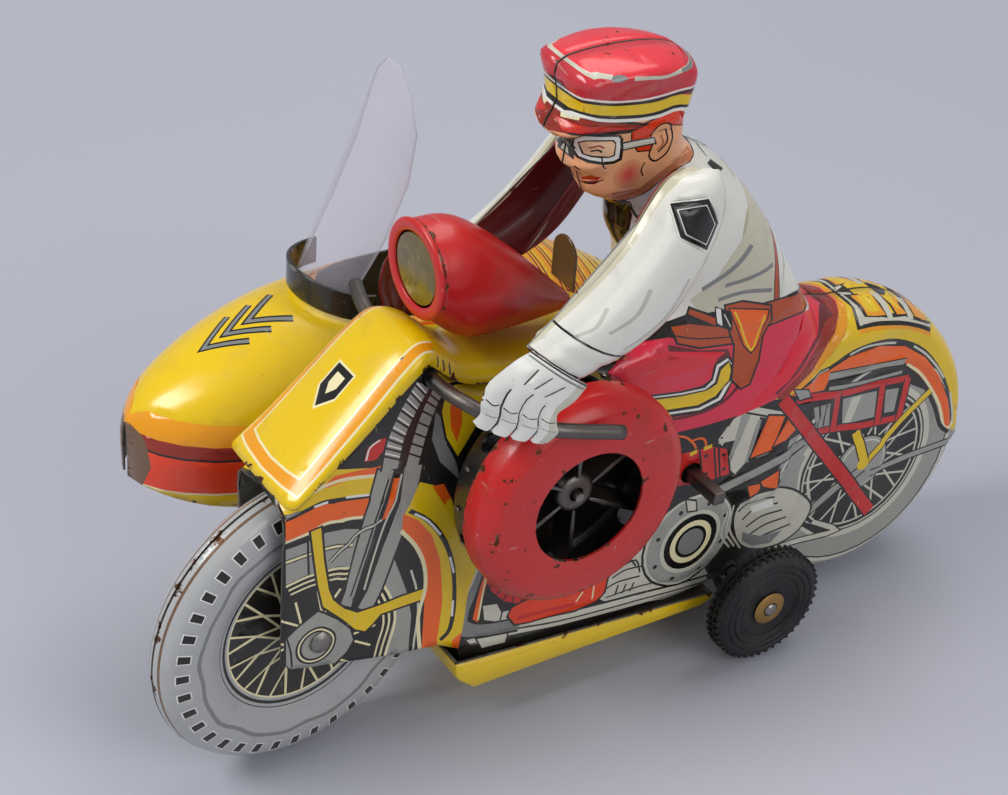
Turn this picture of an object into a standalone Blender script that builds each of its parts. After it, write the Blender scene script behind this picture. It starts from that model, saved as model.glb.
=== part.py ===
"""Tin wind-up motorcycle with rider, siren drum and sidecar, in metres, +Z up.

Forward is -Y, the rider's left is +X.  The origin is on the ground under the middle of
the object's box.  Sizes below are in millimetres and are turned into metres as each
piece is made.
"""
import math

import bmesh
import bpy
from mathutils import Matrix, Vector

MM = 0.001
SHEET = 0.7

# ---- driving dimensions, millimetres -------------------------------------------------
WHEEL_Y = -64.4
WHEEL_R = 33.6
WHEEL_HALF = 5.2
WHEEL_DISC_R = 20.1
WHEEL_YAW = math.radians(5.5)
REAR_Y = 73.4
REAR_Z = 34.2
REAR_R = 32.7
DRIVE_Y = 40.3
DRIVE_R = 13.8
DRIVE_INNER = 20.0
DRIVE_OUTER = 25.7
ARBOR_Y = 24.3
ARBOR_Z = 47.4
ARBOR_END = 22.4
SIREN_Y = -13.7
SIREN_Z = 62.3
SIREN_R = 24.6
SIREN_HOLE = 12.7
SIREN_BACK = 13.4
SIREN_FRONT = 28.0
SEAM = 0.4
PLATE_X = 8.0
PLATE_THICK = 0.8
MODULE = 0.8
SIDECAR_X = -38.0
SIDECAR_HALF = 23.0
SIDECAR_NOSE = -84.0
SIDECAR_TAIL = 46.0
SIDECAR_WHEEL_Y = 20.0
SIDECAR_WHEEL_X = -67.0

# brings the middle of the object's box onto the origin
CENTRE = (18.55, -4.8, 0.0)

AXIS_X = (math.pi / 2, 0.0, math.pi / 2)
TURNED_X = (0.0, math.pi / 2, 0.0)

for old in list(bpy.data.objects):
    bpy.data.objects.remove(old, do_unlink=True)


def collection(name):
    made = bpy.data.collections.new(name)
    bpy.context.scene.collection.children.link(made)
    return made


TOY = collection("tin_motorcycle")
CUTTERS = collection("cutters")


def material(name, colour, roughness, metallic):
    made = bpy.data.materials.new(name)
    made.use_nodes = True
    shader = made.node_tree.nodes["Principled BSDF"]
    shader.inputs["Base Color"].default_value = (*colour, 1.0)
    shader.inputs["Roughness"].default_value = roughness
    shader.inputs["Metallic"].default_value = metallic
    return made


PRINTED = material("printed_tin", (0.62, 0.55, 0.30), 0.32, 0.2)
YELLOW = material("yellow_enamel", (0.85, 0.62, 0.02), 0.28, 0.1)
RED = material("red_enamel", (0.55, 0.02, 0.02), 0.28, 0.1)
BLACK = material("black_enamel", (0.02, 0.02, 0.02), 0.35, 0.1)
SILVER = material("silver_tyre_print", (0.55, 0.55, 0.53), 0.3, 0.5)
CREAM = material("cream_print", (0.8, 0.78, 0.66), 0.32, 0.1)
STEEL = material("bright_steel", (0.5, 0.5, 0.5), 0.3, 1.0)
BRASS = material("brass", (0.6, 0.42, 0.16), 0.35, 1.0)
RUBBER = material("black_rubber", (0.02, 0.02, 0.02), 0.7, 0.0)
CLEAR = material("clear_celluloid", (0.8, 0.78, 0.85), 0.1, 0.0)
AMBER = material("amber_celluloid", (0.35, 0.3, 0.05), 0.3, 0.0)
BLUED = material("blued_spring_steel", (0.12, 0.13, 0.16), 0.35, 1.0)


def metres(values):
    return tuple(value * MM for value in values)


def add_object(name, data, finish, where=(0, 0, 0), turn=(0, 0, 0), group=None):
    made = bpy.data.objects.new(name, data)
    made.location = metres(value + shift for value, shift in zip(where, CENTRE))
    made.rotation_euler = turn
    if finish is not None:
        data.materials.append(finish)
    (group or TOY).objects.link(made)
    return made


def add_bmesh(name, shape, finish, where=(0, 0, 0), turn=(0, 0, 0), group=None):
    data = bpy.data.meshes.new(name)
    shape.to_mesh(data)
    shape.free()
    return add_object(name, data, finish, where, turn, group)


def smooth_look(made, angle=40.0):
    made.data.shade_smooth()
    made.data.set_sharp_from_angle(angle=math.radians(angle))


def solidify(made, thickness=SHEET, offset=-1.0):
    wall = made.modifiers.new("wall", "SOLIDIFY")
    wall.thickness = thickness * MM
    wall.offset = offset
    wall.use_even_offset = True
    return wall


def boolean(made, cutter, operation="DIFFERENCE"):
    cut = made.modifiers.new(operation.lower(), "BOOLEAN")
    cut.operation = operation
    cut.object = cutter
    cut.solver = "EXACT"


def as_cutter(made):
    made.hide_render = True
    made.display_type = "WIRE"
    return made


def rod_cutter(name, where, radius, length, yaw=0.0, sides=14):
    """A cylinder along X (turned by yaw about Z) that drills a round hole."""
    shape = bmesh.new()
    bmesh.ops.create_cone(shape, cap_ends=True, segments=sides, radius1=radius * MM,
                          radius2=radius * MM, depth=length * MM)
    turn = (0.0, math.pi / 2, yaw)
    return as_cutter(add_bmesh(name, shape, None, where, turn, CUTTERS))


def box_shape(low, high):
    shape = bmesh.new()
    bmesh.ops.create_cube(shape, size=1.0)
    size = [(b - a) * MM for a, b in zip(low, high)]
    middle = [(a + b) / 2 * MM for a, b in zip(low, high)]
    bmesh.ops.transform(shape, matrix=Matrix.Translation(middle) @ Matrix.Diagonal((*size, 1.0)),
                        verts=shape.verts)
    return shape


def turned(name, profile, finish, where, closed=False, steps=24, turn=TURNED_X, group=None):
    """A profile of (radius, height) pairs spun about the object's own Z."""
    shape = bmesh.new()
    verts = [shape.verts.new((radius * MM, 0.0, height * MM)) for radius, height in profile]
    pairs = list(zip(verts, verts[1:]))
    if closed:
        pairs.append((verts[-1], verts[0]))
    for first, second in pairs:
        shape.edges.new((first, second))
    made = add_bmesh(name, shape, finish, where, turn, group)
    spin = made.modifiers.new("spin", "SCREW")
    spin.steps = steps
    spin.render_steps = steps
    spin.use_merge_vertices = True
    spin.merge_threshold = 0.00001
    spin.use_smooth_shade = True
    return made


def staff_profile(sections, bottom):
    """Turned profile of a solid shaft from (radius, length) sections, bottom upwards."""
    points = [(0.0, bottom)]
    height = bottom
    for radius, length in sections:
        points.append((radius, height))
        height += length
        points.append((radius, height))
    points.append((0.0, height))
    return list(reversed(points))


def flat_plate(name, loops, thickness, finish, where, turn=AXIS_X):
    """A flat outline with holes, extruded along its own Z."""
    data = bpy.data.curves.new(name, "CURVE")
    data.dimensions = "2D"
    data.fill_mode = "BOTH"
    data.extrude = thickness / 2 * MM
    for loop in loops:
        line = data.splines.new("POLY")
        line.points.add(len(loop) - 1)
        line.use_cyclic_u = True
        for point, (across, up) in zip(line.points, loop):
            point.co = (across * MM, up * MM, 0.0, 1.0)
    return add_object(name, data, finish, where, turn)


def ring(centre, radius, sides=12):
    steps = [2 * math.pi * index / sides for index in range(sides)]
    return [(centre[0] + radius * math.cos(a), centre[1] + radius * math.sin(a)) for a in steps]


def wire(name, points, radius, finish, sides=2):
    data = bpy.data.curves.new(name, "CURVE")
    data.dimensions = "3D"
    data.bevel_depth = radius * MM
    data.bevel_resolution = sides
    data.use_fill_caps = True
    line = data.splines.new("POLY")
    line.points.add(len(points) - 1)
    for point, place in zip(line.points, points):
        point.co = (*metres(place), 1.0)
    return add_object(name, data, finish)


def through(points, steps):
    """Points on a smooth curve through the given ones."""
    given = [Vector(point) for point in points]
    given = [2 * given[0] - given[1]] + given + [2 * given[-1] - given[-2]]
    curve = []
    for index in range(1, len(given) - 2):
        before, here, there, after = given[index - 1:index + 3]
        for step in range(steps):
            t = step / steps
            curve.append(0.5 * ((2 * here) + (there - before) * t
                                + (2 * before - 5 * here + 4 * there - after) * t * t
                                + (3 * here - before - 3 * there + after) * t * t * t))
    curve.append(given[-2])
    return [tuple(point) for point in curve]


def along(stops, where):
    """Straight-line reading of a table of (place, value) stops."""
    for (low, first), (high, second) in zip(stops, stops[1:]):
        if where <= high:
            part = max(0.0, (where - low) / (high - low))
            return first + (second - first) * part
    return stops[-1][1]


def mapped_grid(name, columns, rows, place, finish, wrap=False):
    """A grid of unit parameters, each vertex moved to place(u, v)."""
    shape = bmesh.new()
    bmesh.ops.create_grid(shape, x_segments=columns, y_segments=rows, size=0.5)
    for vert in shape.verts:
        vert.co = Vector(metres(place(vert.co.x + 0.5, vert.co.y + 0.5)))
    if wrap:
        bmesh.ops.remove_doubles(shape, verts=shape.verts, dist=0.00002)
        bmesh.ops.recalc_face_normals(shape, faces=shape.faces)
    return add_bmesh(name, shape, finish)


# ---- the two pressed halves: motorcycle side, rider's body and head --------------------
def arc(centre, radius, start, stop, count):
    angles = [math.radians(start + (stop - start) * i / count) for i in range(count + 1)]
    return [(centre[0] + radius * math.cos(a), centre[1] + radius * math.sin(a)) for a in angles]


CHEEK_EDGE = [(-72.5, z) for z in (69.3, 66.0, 61.0, 55.0, 48.0, 41.0, 35.0, 31.5)]
CHEEK_LOW = [(-72.5, 31.5), (-70.8, 28.9), (-67.0, 28.0), (-56.0, 25.8), (-46.0, 23.8),
             (-36.0, 22.2), (-31.2, 19.6)]
MOTOR_OPENING = [(-31.2, 19.6), (-30.6, 16.6), (-20.0, 15.6), (0.0, 14.6), (16.0, 13.6),
                 (31.0, 13.4), (35.4, 13.8), (37.8, 8.6), (50.0, 8.6), (56.6, 6.2)]
REAR_TYRE = arc((REAR_Y, REAR_Z), REAR_R, -121.0, -9.0, 12)
REAR_GUARD = through([(107.2, 29.0), (105.0, 44.0), (98.6, 56.8), (88.2, 67.2),
                      (76.5, 72.6), (65.0, 74.2)], 2)
RIDER_BACK = through([(57.6, 76.2), (53.2, 82.8), (47.4, 93.0), (40.8, 103.6), (34.2, 112.6),
                      (27.2, 120.0), (18.6, 125.6)], 2)
CAP = [(17.4, 132.0), (18.6, 138.6), (17.8, 144.0), (10.6, 147.2), (-1.6, 148.4),
       (-11.0, 147.0), (-10.4, 139.4), (-13.0, 133.8), (-8.6, 131.4)]
FACE = [(-7.4, 129.0), (-7.8, 124.8), (-4.4, 122.2), (-2.6, 117.4), (1.0, 115.6)]
CHEST = through([(5.4, 112.4), (6.4, 105.6), (10.0, 98.6), (11.0, 90.6), (8.0, 85.5)], 2)
TANK = through([(0.0, 84.2), (-12.0, 84.4), (-25.0, 85.4), (-33.0, 88.2), (-40.0, 94.6),
                (-45.0, 94.9), (-50.0, 91.0), (-60.0, 81.0), (-72.5, 69.3)], 2)
CLOSED_EDGE = REAR_TYRE + REAR_GUARD + RIDER_BACK + CAP + FACE + CHEST + TANK
BODY_OUTLINE = CHEEK_EDGE[:-1] + CHEEK_LOW[:-1] + MOTOR_OPENING[:-1] + CLOSED_EDGE[:-1]

# (y, z, half width, edge radius): how far each region of the sheet is pressed out
PRESSINGS = (
    (-64.0, 45.0, 9.3, 3.2), (-50.0, 62.0, 9.6, 3.2), (-62.0, 74.0, 9.8, 3.2),
    (-42.0, 32.0, 10.4, 3.4), (-40.0, 86.0, 10.0, 4.0), (-12.0, 30.0, 12.0, 4.0),
    (-15.0, 60.0, 12.0, 4.0), (20.0, 30.0, 12.0, 4.0), (15.0, 50.0, 12.0, 4.0),
    (73.0, 33.0, 10.0, 4.0), (95.0, 35.0, 9.4, 4.0), (88.0, 58.0, 9.6, 4.0),
    (66.0, 10.0, 9.8, 4.0), (45.0, 20.0, 11.0, 4.0), (44.0, 64.0, 14.0, 7.0),
    (8.0, 74.0, 12.4, 5.0), (-2.0, 80.0, 11.8, 4.0), (62.0, 70.0, 11.5, 6.0), (26.0, 88.0, 13.2, 8.0),
    (27.0, 104.0, 15.0, 10.0), (20.0, 118.0, 14.0, 9.0), (12.0, 121.0, 7.6, 7.0),
    (4.0, 127.0, 7.4, 6.5), (4.0, 139.0, 7.8, 5.5), (4.0, 145.5, 9.4, 5.0),
)


def edge_distance(y, z):
    nearest = 1e9
    for (y0, z0), (y1, z1) in zip(CLOSED_EDGE, CLOSED_EDGE[1:]):
        span = (y1 - y0, z1 - z0)
        size = span[0] ** 2 + span[1] ** 2
        part = max(0.0, min(1.0, ((y - y0) * span[0] + (z - z0) * span[1]) / size))
        nearest = min(nearest, math.hypot(y - y0 - part * span[0], z - z0 - part * span[1]))
    return nearest


def press_depth(y, z, skin=0.0):
    """Half width of the pressed body at a point of its side outline, or of its inner face."""
    total = width = radius = 0.0
    for at_y, at_z, half, edge in PRESSINGS:
        weight = 1.0 / ((y - at_y) ** 2 + (z - at_z) ** 2 + 20.0) ** 2
        total += weight
        width += weight * half
        radius += weight * edge
    rise = min(1.0, max(0.0, edge_distance(y, z) - skin) / (radius / total - skin))
    return SEAM + (width / total - skin - SEAM) * math.sqrt(1.0 - (1.0 - rise) ** 2)


def inward(y, z):
    """Direction from a point on the closed edge into the outline, or None off that edge."""
    found = []
    for (y0, z0), (y1, z1) in zip(CLOSED_EDGE, CLOSED_EDGE[1:]):
        span = Vector((y1 - y0, z1 - z0))
        part = max(0.0, min(1.0, Vector((y - y0, z - z0)).dot(span) / span.length_squared))
        if (Vector((y0, z0)) + span * part - Vector((y, z))).length < 0.01:
            found.append(Vector((-span.y, span.x)).normalized())
    if not found:
        return None
    total = sum(found, Vector((0.0, 0.0)))
    return total / max(0.6, total.normalized().dot(found[0])) / len(found)


def pressed_half(name, side, pitch=9.5, lip=1.4, shoulder=2.6):
    shape = bmesh.new()
    verts = [shape.verts.new((0.0, y * MM, z * MM)) for y, z in BODY_OUTLINE]
    face = shape.faces.new(verts)
    for width in (lip, shoulder):
        bmesh.ops.inset_region(shape, faces=[face], thickness=width * MM, use_even_offset=True,
                               use_boundary=True)
    inner = [face]
    for normal, low, high in (((0, 1, 0), -74.0, 112.0), ((0, 0, 1), 4.0, 152.0)):
        cut = low + pitch / 2
        while cut < high:
            parts = [f for f in inner if f.is_valid]
            edges = {e for f in parts for e in f.edges}
            corners = {v for f in parts for v in f.verts}
            split = bmesh.ops.bisect_plane(
                shape, geom=parts + list(edges) + list(corners), dist=1e-7,
                plane_co=Vector(normal) * cut * MM, plane_no=normal)
            inner = [f for f in split["geom"] if isinstance(f, bmesh.types.BMFace)]
            cut += pitch
    bmesh.ops.triangulate(shape, faces=shape.faces)
    outer = list(shape.verts)
    copied = bmesh.ops.duplicate(shape, geom=list(shape.faces) + list(shape.edges) + outer)
    twin = copied["vert_map"]
    rim = [(e.verts[0], e.verts[1]) for e in shape.edges if e.is_boundary and e.verts[0] in outer]
    for first, second in rim:
        shape.faces.new((first, second, twin[second], twin[first]))
    for vert in outer:
        y, z = vert.co.y / MM, vert.co.z / MM
        vert.co.x = side * press_depth(y, z) * MM
        push = inward(y, z)
        if push is not None:
            y, z = y + push.x * SHEET, z + push.y * SHEET
        depth = SEAM if push is not None else press_depth(y, z, SHEET)
        twin[vert].co = Vector((side * depth * MM, y * MM, z * MM))
    bmesh.ops.recalc_face_normals(shape, faces=shape.faces)
    if shape.calc_volume(signed=True) < 0:
        bmesh.ops.reverse_faces(shape, faces=shape.faces)
    made = add_bmesh(name, shape, PRINTED)
    smooth_look(made, 50.0)
    return made


# the handlebar's route, from the right grip through the steering head to the left grip
BAR_RADIUS = 1.5
BAR_ROUTE = through([(-24.5, -38.6, 92.0), (-18.5, -40.4, 91.6), (-12.5, -41.2, 91.0),
                     (0.0, -41.2, 90.8), (12.5, -41.2, 91.0), (20.0, -39.6, 90.8),
                     (26.6, -33.6, 88.2), (30.6, -23.5, 86.0), (32.2, -11.0, 82.6)], 3)

left_body = pressed_half("body_left_shell", 1)
right_body = pressed_half("body_right_shell", -1)
front_hole = rod_cutter("front_axle_hole", (0, WHEEL_Y, WHEEL_R), 1.8, 60, WHEEL_YAW)
bar_hole = rod_cutter("handlebar_hole", (0, -41.2, 90.9), 2.0, 24)
axle_hole = rod_cutter("drive_axle_hole", (0, DRIVE_Y, DRIVE_R), 2.0, 40)
for half in (left_body, right_body):
    for hole in (front_hole, bar_hole, axle_hole):
        boolean(half, hole)
boolean(left_body, rod_cutter("arbor_hole", (14, ARBOR_Y, ARBOR_Z), 2.6, 16))
boolean(left_body, rod_cutter("siren_shaft_hole", (14, SIREN_Y, SIREN_Z), 2.2, 16))

# ---- yellow front mudguard and tank top ------------------------------------------------
HOOD_LINE = through([(-73.8, 72.2), (-66.0, 79.6), (-56.0, 89.2), (-49.0, 95.6), (-44.0, 98.4),
                     (-39.5, 97.4), (-35.5, 93.8), (-31.0, 90.6), (-24.0, 89.2), (-12.0, 87.8),
                     (4.0, 86.8)], 2)
HOOD_HALF = [(0.0, 13.8), (0.3, 12.6), (0.45, 11.6), (0.62, 10.4), (1.0, 12.4)]
HOOD_SKIRT = [(0.0, 0.8), (0.12, 2.4), (0.3, 3.2), (1.0, 3.2)]


def hood_place(u, v):
    reach = u * (len(HOOD_LINE) - 1)
    index = min(int(reach), len(HOOD_LINE) - 2)
    here, there = Vector(HOOD_LINE[index]), Vector(HOOD_LINE[index + 1])
    spot = here.lerp(there, reach - index)
    along_line = (there - here).normalized()
    down = Vector((along_line.y, -along_line.x))
    across = 2 * v - 1
    half = along(HOOD_HALF, u)
    drop = along(HOOD_SKIRT, u) * abs(across) ** 4 + 0.8 * across * across
    spot = spot + down * drop
    return half * across * (1.0 - 0.06 * abs(across) ** 6), spot.x, spot.y


hood = mapped_grid("front_fender_hood", len(HOOD_LINE) - 1, 6, hood_place, YELLOW)
solidify(hood, SHEET, 1.0)
smooth_look(hood)

# ---- headlamp ----------------------------------------------------------------------------
LAMP_FRONT = -39.0
LAMP_TIP = -3.5
LAMP_Z = 109.5
LAMP_TOP = [(0.0, 119.3), (0.25, 118.0), (0.6, 108.0), (1.0, 93.8)]
LAMP_LOW = [(0.0, 99.9), (0.22, 93.0), (0.4, 91.6), (1.0, 90.4)]
LAMP_HALF = [(0.0, 9.8), (0.2, 9.9), (0.55, 7.4), (1.0, 0.9)]


def lamp_place(u, v):
    top, low = along(LAMP_TOP, u), along(LAMP_LOW, u)
    angle = 2 * math.pi * v
    y = LAMP_FRONT + (LAMP_TIP - LAMP_FRONT) * u
    return (along(LAMP_HALF, u) * math.sin(angle), y,
            (top + low) / 2 + (top - low) / 2 * math.cos(angle))


def lamp_shell():
    made = mapped_grid("headlamp_shell", 6, 18, lamp_place, RED, wrap=True)
    shape = bmesh.new()
    shape.from_mesh(made.data)
    rear = max(vert.co.y for vert in shape.verts)
    rim = [e for e in shape.edges if e.is_boundary and min(v.co.y for v in e.verts) > rear - 1e-6]
    bmesh.ops.contextual_create(shape, geom=rim)
    bmesh.ops.recalc_face_normals(shape, faces=shape.faces)
    probe = max(shape.faces, key=lambda f: f.calc_center_median().z)
    if probe.normal.z < 0:
        bmesh.ops.reverse_faces(shape, faces=shape.faces)
    shape.to_mesh(made.data)
    shape.free()
    solidify(made)
    smooth_look(made)


lamp_shell()
FRONT_FACING = (math.pi / 2, 0.0, 0.0)
turned("headlamp_bezel", [(10.5, 1.8), (10.5, 0.3), (7.6, 0.3), (7.6, 1.0), (9.2, 1.8)], RED,
       (0, LAMP_FRONT, LAMP_Z), closed=True, turn=FRONT_FACING)
turned("headlamp_lens", [(0.0, 0.9), (7.2, 0.6), (7.2, 0.2), (0.0, 0.3)], AMBER,
       (0, LAMP_FRONT, LAMP_Z), turn=FRONT_FACING, steps=20)
flat_plate("tank_tab", [[(-4.0, 0.0), (4.0, 0.0)] + arc((0.0, 7.0), 4.0, 0.0, 180.0, 8)], 0.6,
           STEEL, (-7.0, 0.0, 91.4), turn=FRONT_FACING)

# ---- arms with gloved hands -----------------------------------------------------------------
ARM_LINE = through([(17.4, 19.0, 120.4), (20.6, 10.0, 111.6), (23.0, -1.0, 103.0),
                    (24.8, -13.0, 97.8), (26.0, -22.5, 96.2), (26.6, -31.0, 95.6)], 2)
ARM_HALF = [(0.0, 5.0), (0.1, 7.8), (0.4, 8.2), (0.75, 6.2), (0.85, 5.2), (1.0, 4.6)]
ARM_LEAN = [(0.0, 0.0), (0.4, 1.0), (1.0, 4.0)]
ARM_BULGE = [(0.0, 1.4), (0.15, 2.8), (0.8, 3.0), (1.0, 2.2)]


def arm_place(side):
    def place(u, v):
        reach = u * (len(ARM_LINE) - 1)
        index = min(int(reach), len(ARM_LINE) - 2)
        here, there = Vector(ARM_LINE[index]), Vector(ARM_LINE[index + 1])
        spot = here.lerp(there, reach - index)
        forward = (there - here).normalized()
        upward = Vector((1.0, 0.0, 0.0)).cross(forward).normalized()
        angle = math.pi * (v - 0.5)
        spot = spot - upward * along(ARM_HALF, u) * math.sin(angle)
        spot.x += along(ARM_BULGE, u) * (math.cos(angle) * 2.0 - 1.0)
        if side < 0:
            spot.x -= along(ARM_LEAN, u)
        return side * spot.x, spot.y, spot.z
    return place


for label, side in (("left", 1), ("right", -1)):
    arm = mapped_grid(f"{label}_arm", len(ARM_LINE) - 1, 6, arm_place(side), CREAM)
    solidify(arm, SHEET, side * -1.0)
    smooth_look(arm)

wire("handlebar", BAR_ROUTE, BAR_RADIUS, STEEL)

# ---- footboard pan -----------------------------------------------------------------------------
PAN_HALF = 13.9
PAN_SIDE = [(-33.6, 18.4), (-32.6, 13.6), (-28.0, 9.4), (30.8, 9.4), (33.2, 10.4), (33.6, 12.2)]


def footboard():
    shape = bmesh.new()
    near = [shape.verts.new((PAN_HALF * MM, y * MM, z * MM)) for y, z in PAN_SIDE]
    side = shape.faces.new(near)
    pushed = bmesh.ops.extrude_face_region(shape, geom=[side])
    moved = [v for v in pushed["geom"] if isinstance(v, bmesh.types.BMVert)]
    bmesh.ops.translate(shape, vec=(-2 * PAN_HALF * MM, 0, 0), verts=moved)
    bmesh.ops.recalc_face_normals(shape, faces=shape.faces)
    top = max(shape.faces, key=lambda f: f.normal.z)
    bmesh.ops.delete(shape, geom=[top], context="FACES_ONLY")
    made = add_bmesh("footboard_pan", shape, YELLOW)
    solidify(made, 0.8)


footboard()

# ---- siren drum ------------------------------------------------------------------------------------
SIREN = (0, SIREN_Y, SIREN_Z)
back = turned("siren_back_shell",
              [(2.4, SIREN_BACK + 0.7), (22.6, SIREN_BACK + 0.7), (23.0, SIREN_BACK + 9.6),
               (23.7, SIREN_BACK + 9.6), (23.5, SIREN_BACK + 0.6), (22.8, SIREN_BACK),
               (2.4, SIREN_BACK)], BLACK, SIREN, closed=True, steps=24)
turned("siren_front_cover",
       [(SIREN_HOLE, SIREN_FRONT), (21.0, SIREN_FRONT), (SIREN_R, SIREN_FRONT - 3.8),
        (SIREN_R, SIREN_FRONT - 8.0), (SIREN_R - 0.6, SIREN_FRONT - 8.0),
        (SIREN_R - 0.7, SIREN_FRONT - 4.1), (20.8, SIREN_FRONT - 0.7),
        (SIREN_HOLE, SIREN_FRONT - 0.7)], RED, SIREN, closed=True, steps=28)
VENTS = 6
for index in range(VENTS):
    lean = math.radians(20 + 360 / VENTS * index)
    vent = bmesh.new()
    bmesh.ops.create_cone(vent, cap_ends=True, segments=8, radius1=2.4 * MM, radius2=2.4 * MM,
                          depth=8 * MM)
    spot = (SIREN_BACK + 4.4, SIREN_Y + 23.2 * math.cos(lean), SIREN_Z + 23.2 * math.sin(lean))
    hole = add_bmesh(f"vent_hole_{index}", vent, None, spot, (lean - math.pi / 2, 0, 0), CUTTERS)
    boolean(back, as_cutter(hole))

BLADES = 6


def blade_outline(hub, tip, half):
    loop = []
    for index in range(BLADES):
        middle = 2 * math.pi * index / BLADES
        inner = math.asin(half / hub)
        outer = math.asin(half / tip)
        spots = ((hub, -inner), (tip, -outer), (tip, outer), (hub, inner))
        loop += [(r * math.cos(middle + a), r * math.sin(middle + a)) for r, a in spots]
    return loop


flat_plate("siren_impeller", [blade_outline(4.2, 19.0, 0.55), ring((0, 0), 1.5, 10)], 6.4, STEEL,
           (SIREN_BACK + 6.6, SIREN_Y, SIREN_Z))

# ---- front wheel, two pressed halves on a riveted axle, set a little to one side -----------------
TYRE_SIDE = [(WHEEL_R, 0.2), (WHEEL_R - 0.5, 2.2), (31.0, 4.3), (26.0, WHEEL_HALF),
             (WHEEL_DISC_R, 3.4), (12.0, 2.6), (2.0, 4.2)]


def wheel_half(name, side):
    skin = 0.6
    inner = [(radius - skin if radius > 22 else radius + 0.1, max(0.2, height - skin))
             for radius, height in TYRE_SIDE]
    inner[0] = (WHEEL_R - skin, 0.2)
    inner[-1] = (2.0, 4.2 - skin)
    loop = TYRE_SIDE + list(reversed(inner))
    if side > 0:
        loop = list(reversed(loop))
    profile = [(radius, side * height) for radius, height in loop]
    return turned(name, profile, SILVER, (0, WHEEL_Y, WHEEL_R), closed=True, steps=26,
                  turn=(0.0, math.pi / 2, WHEEL_YAW))


wheel_half("front_wheel_left_half", 1)
wheel_half("front_wheel_right_half", -1)
AXLE_HALF = 9.9
turned("front_axle",
       [(0.0, AXLE_HALF + 1.2), (1.8, AXLE_HALF + 0.9), (2.7, AXLE_HALF), (1.4, AXLE_HALF),
        (1.4, -AXLE_HALF), (2.7, -AXLE_HALF), (1.8, -AXLE_HALF - 0.9), (0.0, -AXLE_HALF - 1.2)],
       STEEL, (0, WHEEL_Y, WHEEL_R), steps=14, turn=(0.0, math.pi / 2, WHEEL_YAW))

# ---- rubber wheels ---------------------------------------------------------------------------------
RUBBER_BORE = 1.75


def rubber_wheel(name, centre, radius=DRIVE_R, half=2.85, finish=RUBBER):
    profile = [(RUBBER_BORE, half - 0.6), (7.4, half - 0.6), (8.6, half), (11.6, half),
               (radius, half - 1.4)]
    profile = profile + [(r, -h) for r, h in reversed(profile)]
    return turned(name, profile, finish, centre, closed=True, steps=22)


DRIVE_MIDDLE = (DRIVE_INNER + DRIVE_OUTER) / 2
for label, side in (("left", 1), ("right", -1)):
    rubber_wheel(f"{label}_drive_wheel", (side * DRIVE_MIDDLE, DRIVE_Y, DRIVE_R))
    turned(f"{label}_hub_washer",
           [(RUBBER_BORE, 0.5), (3.4, 0.5), (4.0, 0.0), (RUBBER_BORE, 0.0)],
           BRASS, (side * (DRIVE_OUTER - 0.3), DRIVE_Y, DRIVE_R), closed=True, steps=16,
           turn=(0.0, side * math.pi / 2, 0.0))
turned("drive_axle", staff_profile([(1.6, 2 * DRIVE_OUTER + 1.6)], -DRIVE_OUTER - 0.8), STEEL,
       (0, DRIVE_Y, DRIVE_R), steps=14)

# ---- clockwork motor ---------------------------------------------------------------------------------
ADDENDUM = 0.7
DEDENDUM = 0.9
GREAT = (ARBOR_Y, ARBOR_Z)
AXLE = (DRIVE_Y, DRIVE_R)
SHAFT = (SIREN_Y, SIREN_Z)
TEETH = {"great": 38, "first_pinion": 10, "first": 36, "drive": 10, "second_pinion": 10,
         "second": 26, "third_pinion": 10, "third": 24, "siren": 8}


def pitch_radius(gear):
    return TEETH[gear] * MODULE / 2


def apart(first, second):
    return pitch_radius(first) + pitch_radius(second) + 0.05


def meeting(one, reach_one, two, reach_two, side):
    """The point at the two given distances from two centres."""
    span = Vector(two) - Vector(one)
    length = span.length
    run = (reach_one ** 2 - reach_two ** 2 + length ** 2) / (2 * length)
    rise = math.sqrt(max(0.0, reach_one ** 2 - run ** 2))
    forward = span.normalized()
    up = Vector((-forward.y, forward.x)) * side
    return tuple(Vector(one) + forward * run + up * rise)


def heading(one, two):
    return math.atan2(two[1] - one[1], two[0] - one[0])


def mesh_phase(one, two, teeth_one, phase_one, teeth_two):
    """Angle of a tooth on the second gear that leaves it in mesh with the first."""
    line = heading(one, two)
    pitch_one = 2 * math.pi / teeth_one
    part = ((line - phase_one) % pitch_one) / pitch_one
    return line + math.pi + (part + 0.5) * 2 * math.pi / teeth_two


def gear_outline(teeth, phase):
    pitch = teeth * MODULE / 2
    loop = []
    for index in range(teeth):
        for shift, radius in ((0.0, pitch + ADDENDUM * MODULE), (0.5, pitch - DEDENDUM * MODULE)):
            angle = phase + 2 * math.pi * (index + shift) / teeth
            loop.append((radius * math.cos(angle), radius * math.sin(angle)))
    return loop


def gear(name, key, centre, middle_x, thickness, bore, phase, finish):
    loops = [gear_outline(TEETH[key], phase), ring((0, 0), bore, 10)]
    return flat_plate(name, loops, thickness, finish, (middle_x, *centre))


FIRST = meeting(GREAT, apart("great", "first_pinion"), AXLE, apart("first", "drive"), 1)
LEAN = heading(GREAT, SHAFT)
SECOND_REACH = apart("great", "second_pinion")
SECOND = (GREAT[0] + SECOND_REACH * math.cos(LEAN), GREAT[1] + SECOND_REACH * math.sin(LEAN))
THIRD = meeting(SECOND, apart("second", "third_pinion"), SHAFT, apart("third", "siren"), -1)
STAFF_R = 1.0
STAFF_BORE = STAFF_R + 0.15
PLANE_GREAT = -5.8
PLANE_WIDE = 4.9
PLANE_SIREN = 1.9

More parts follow.
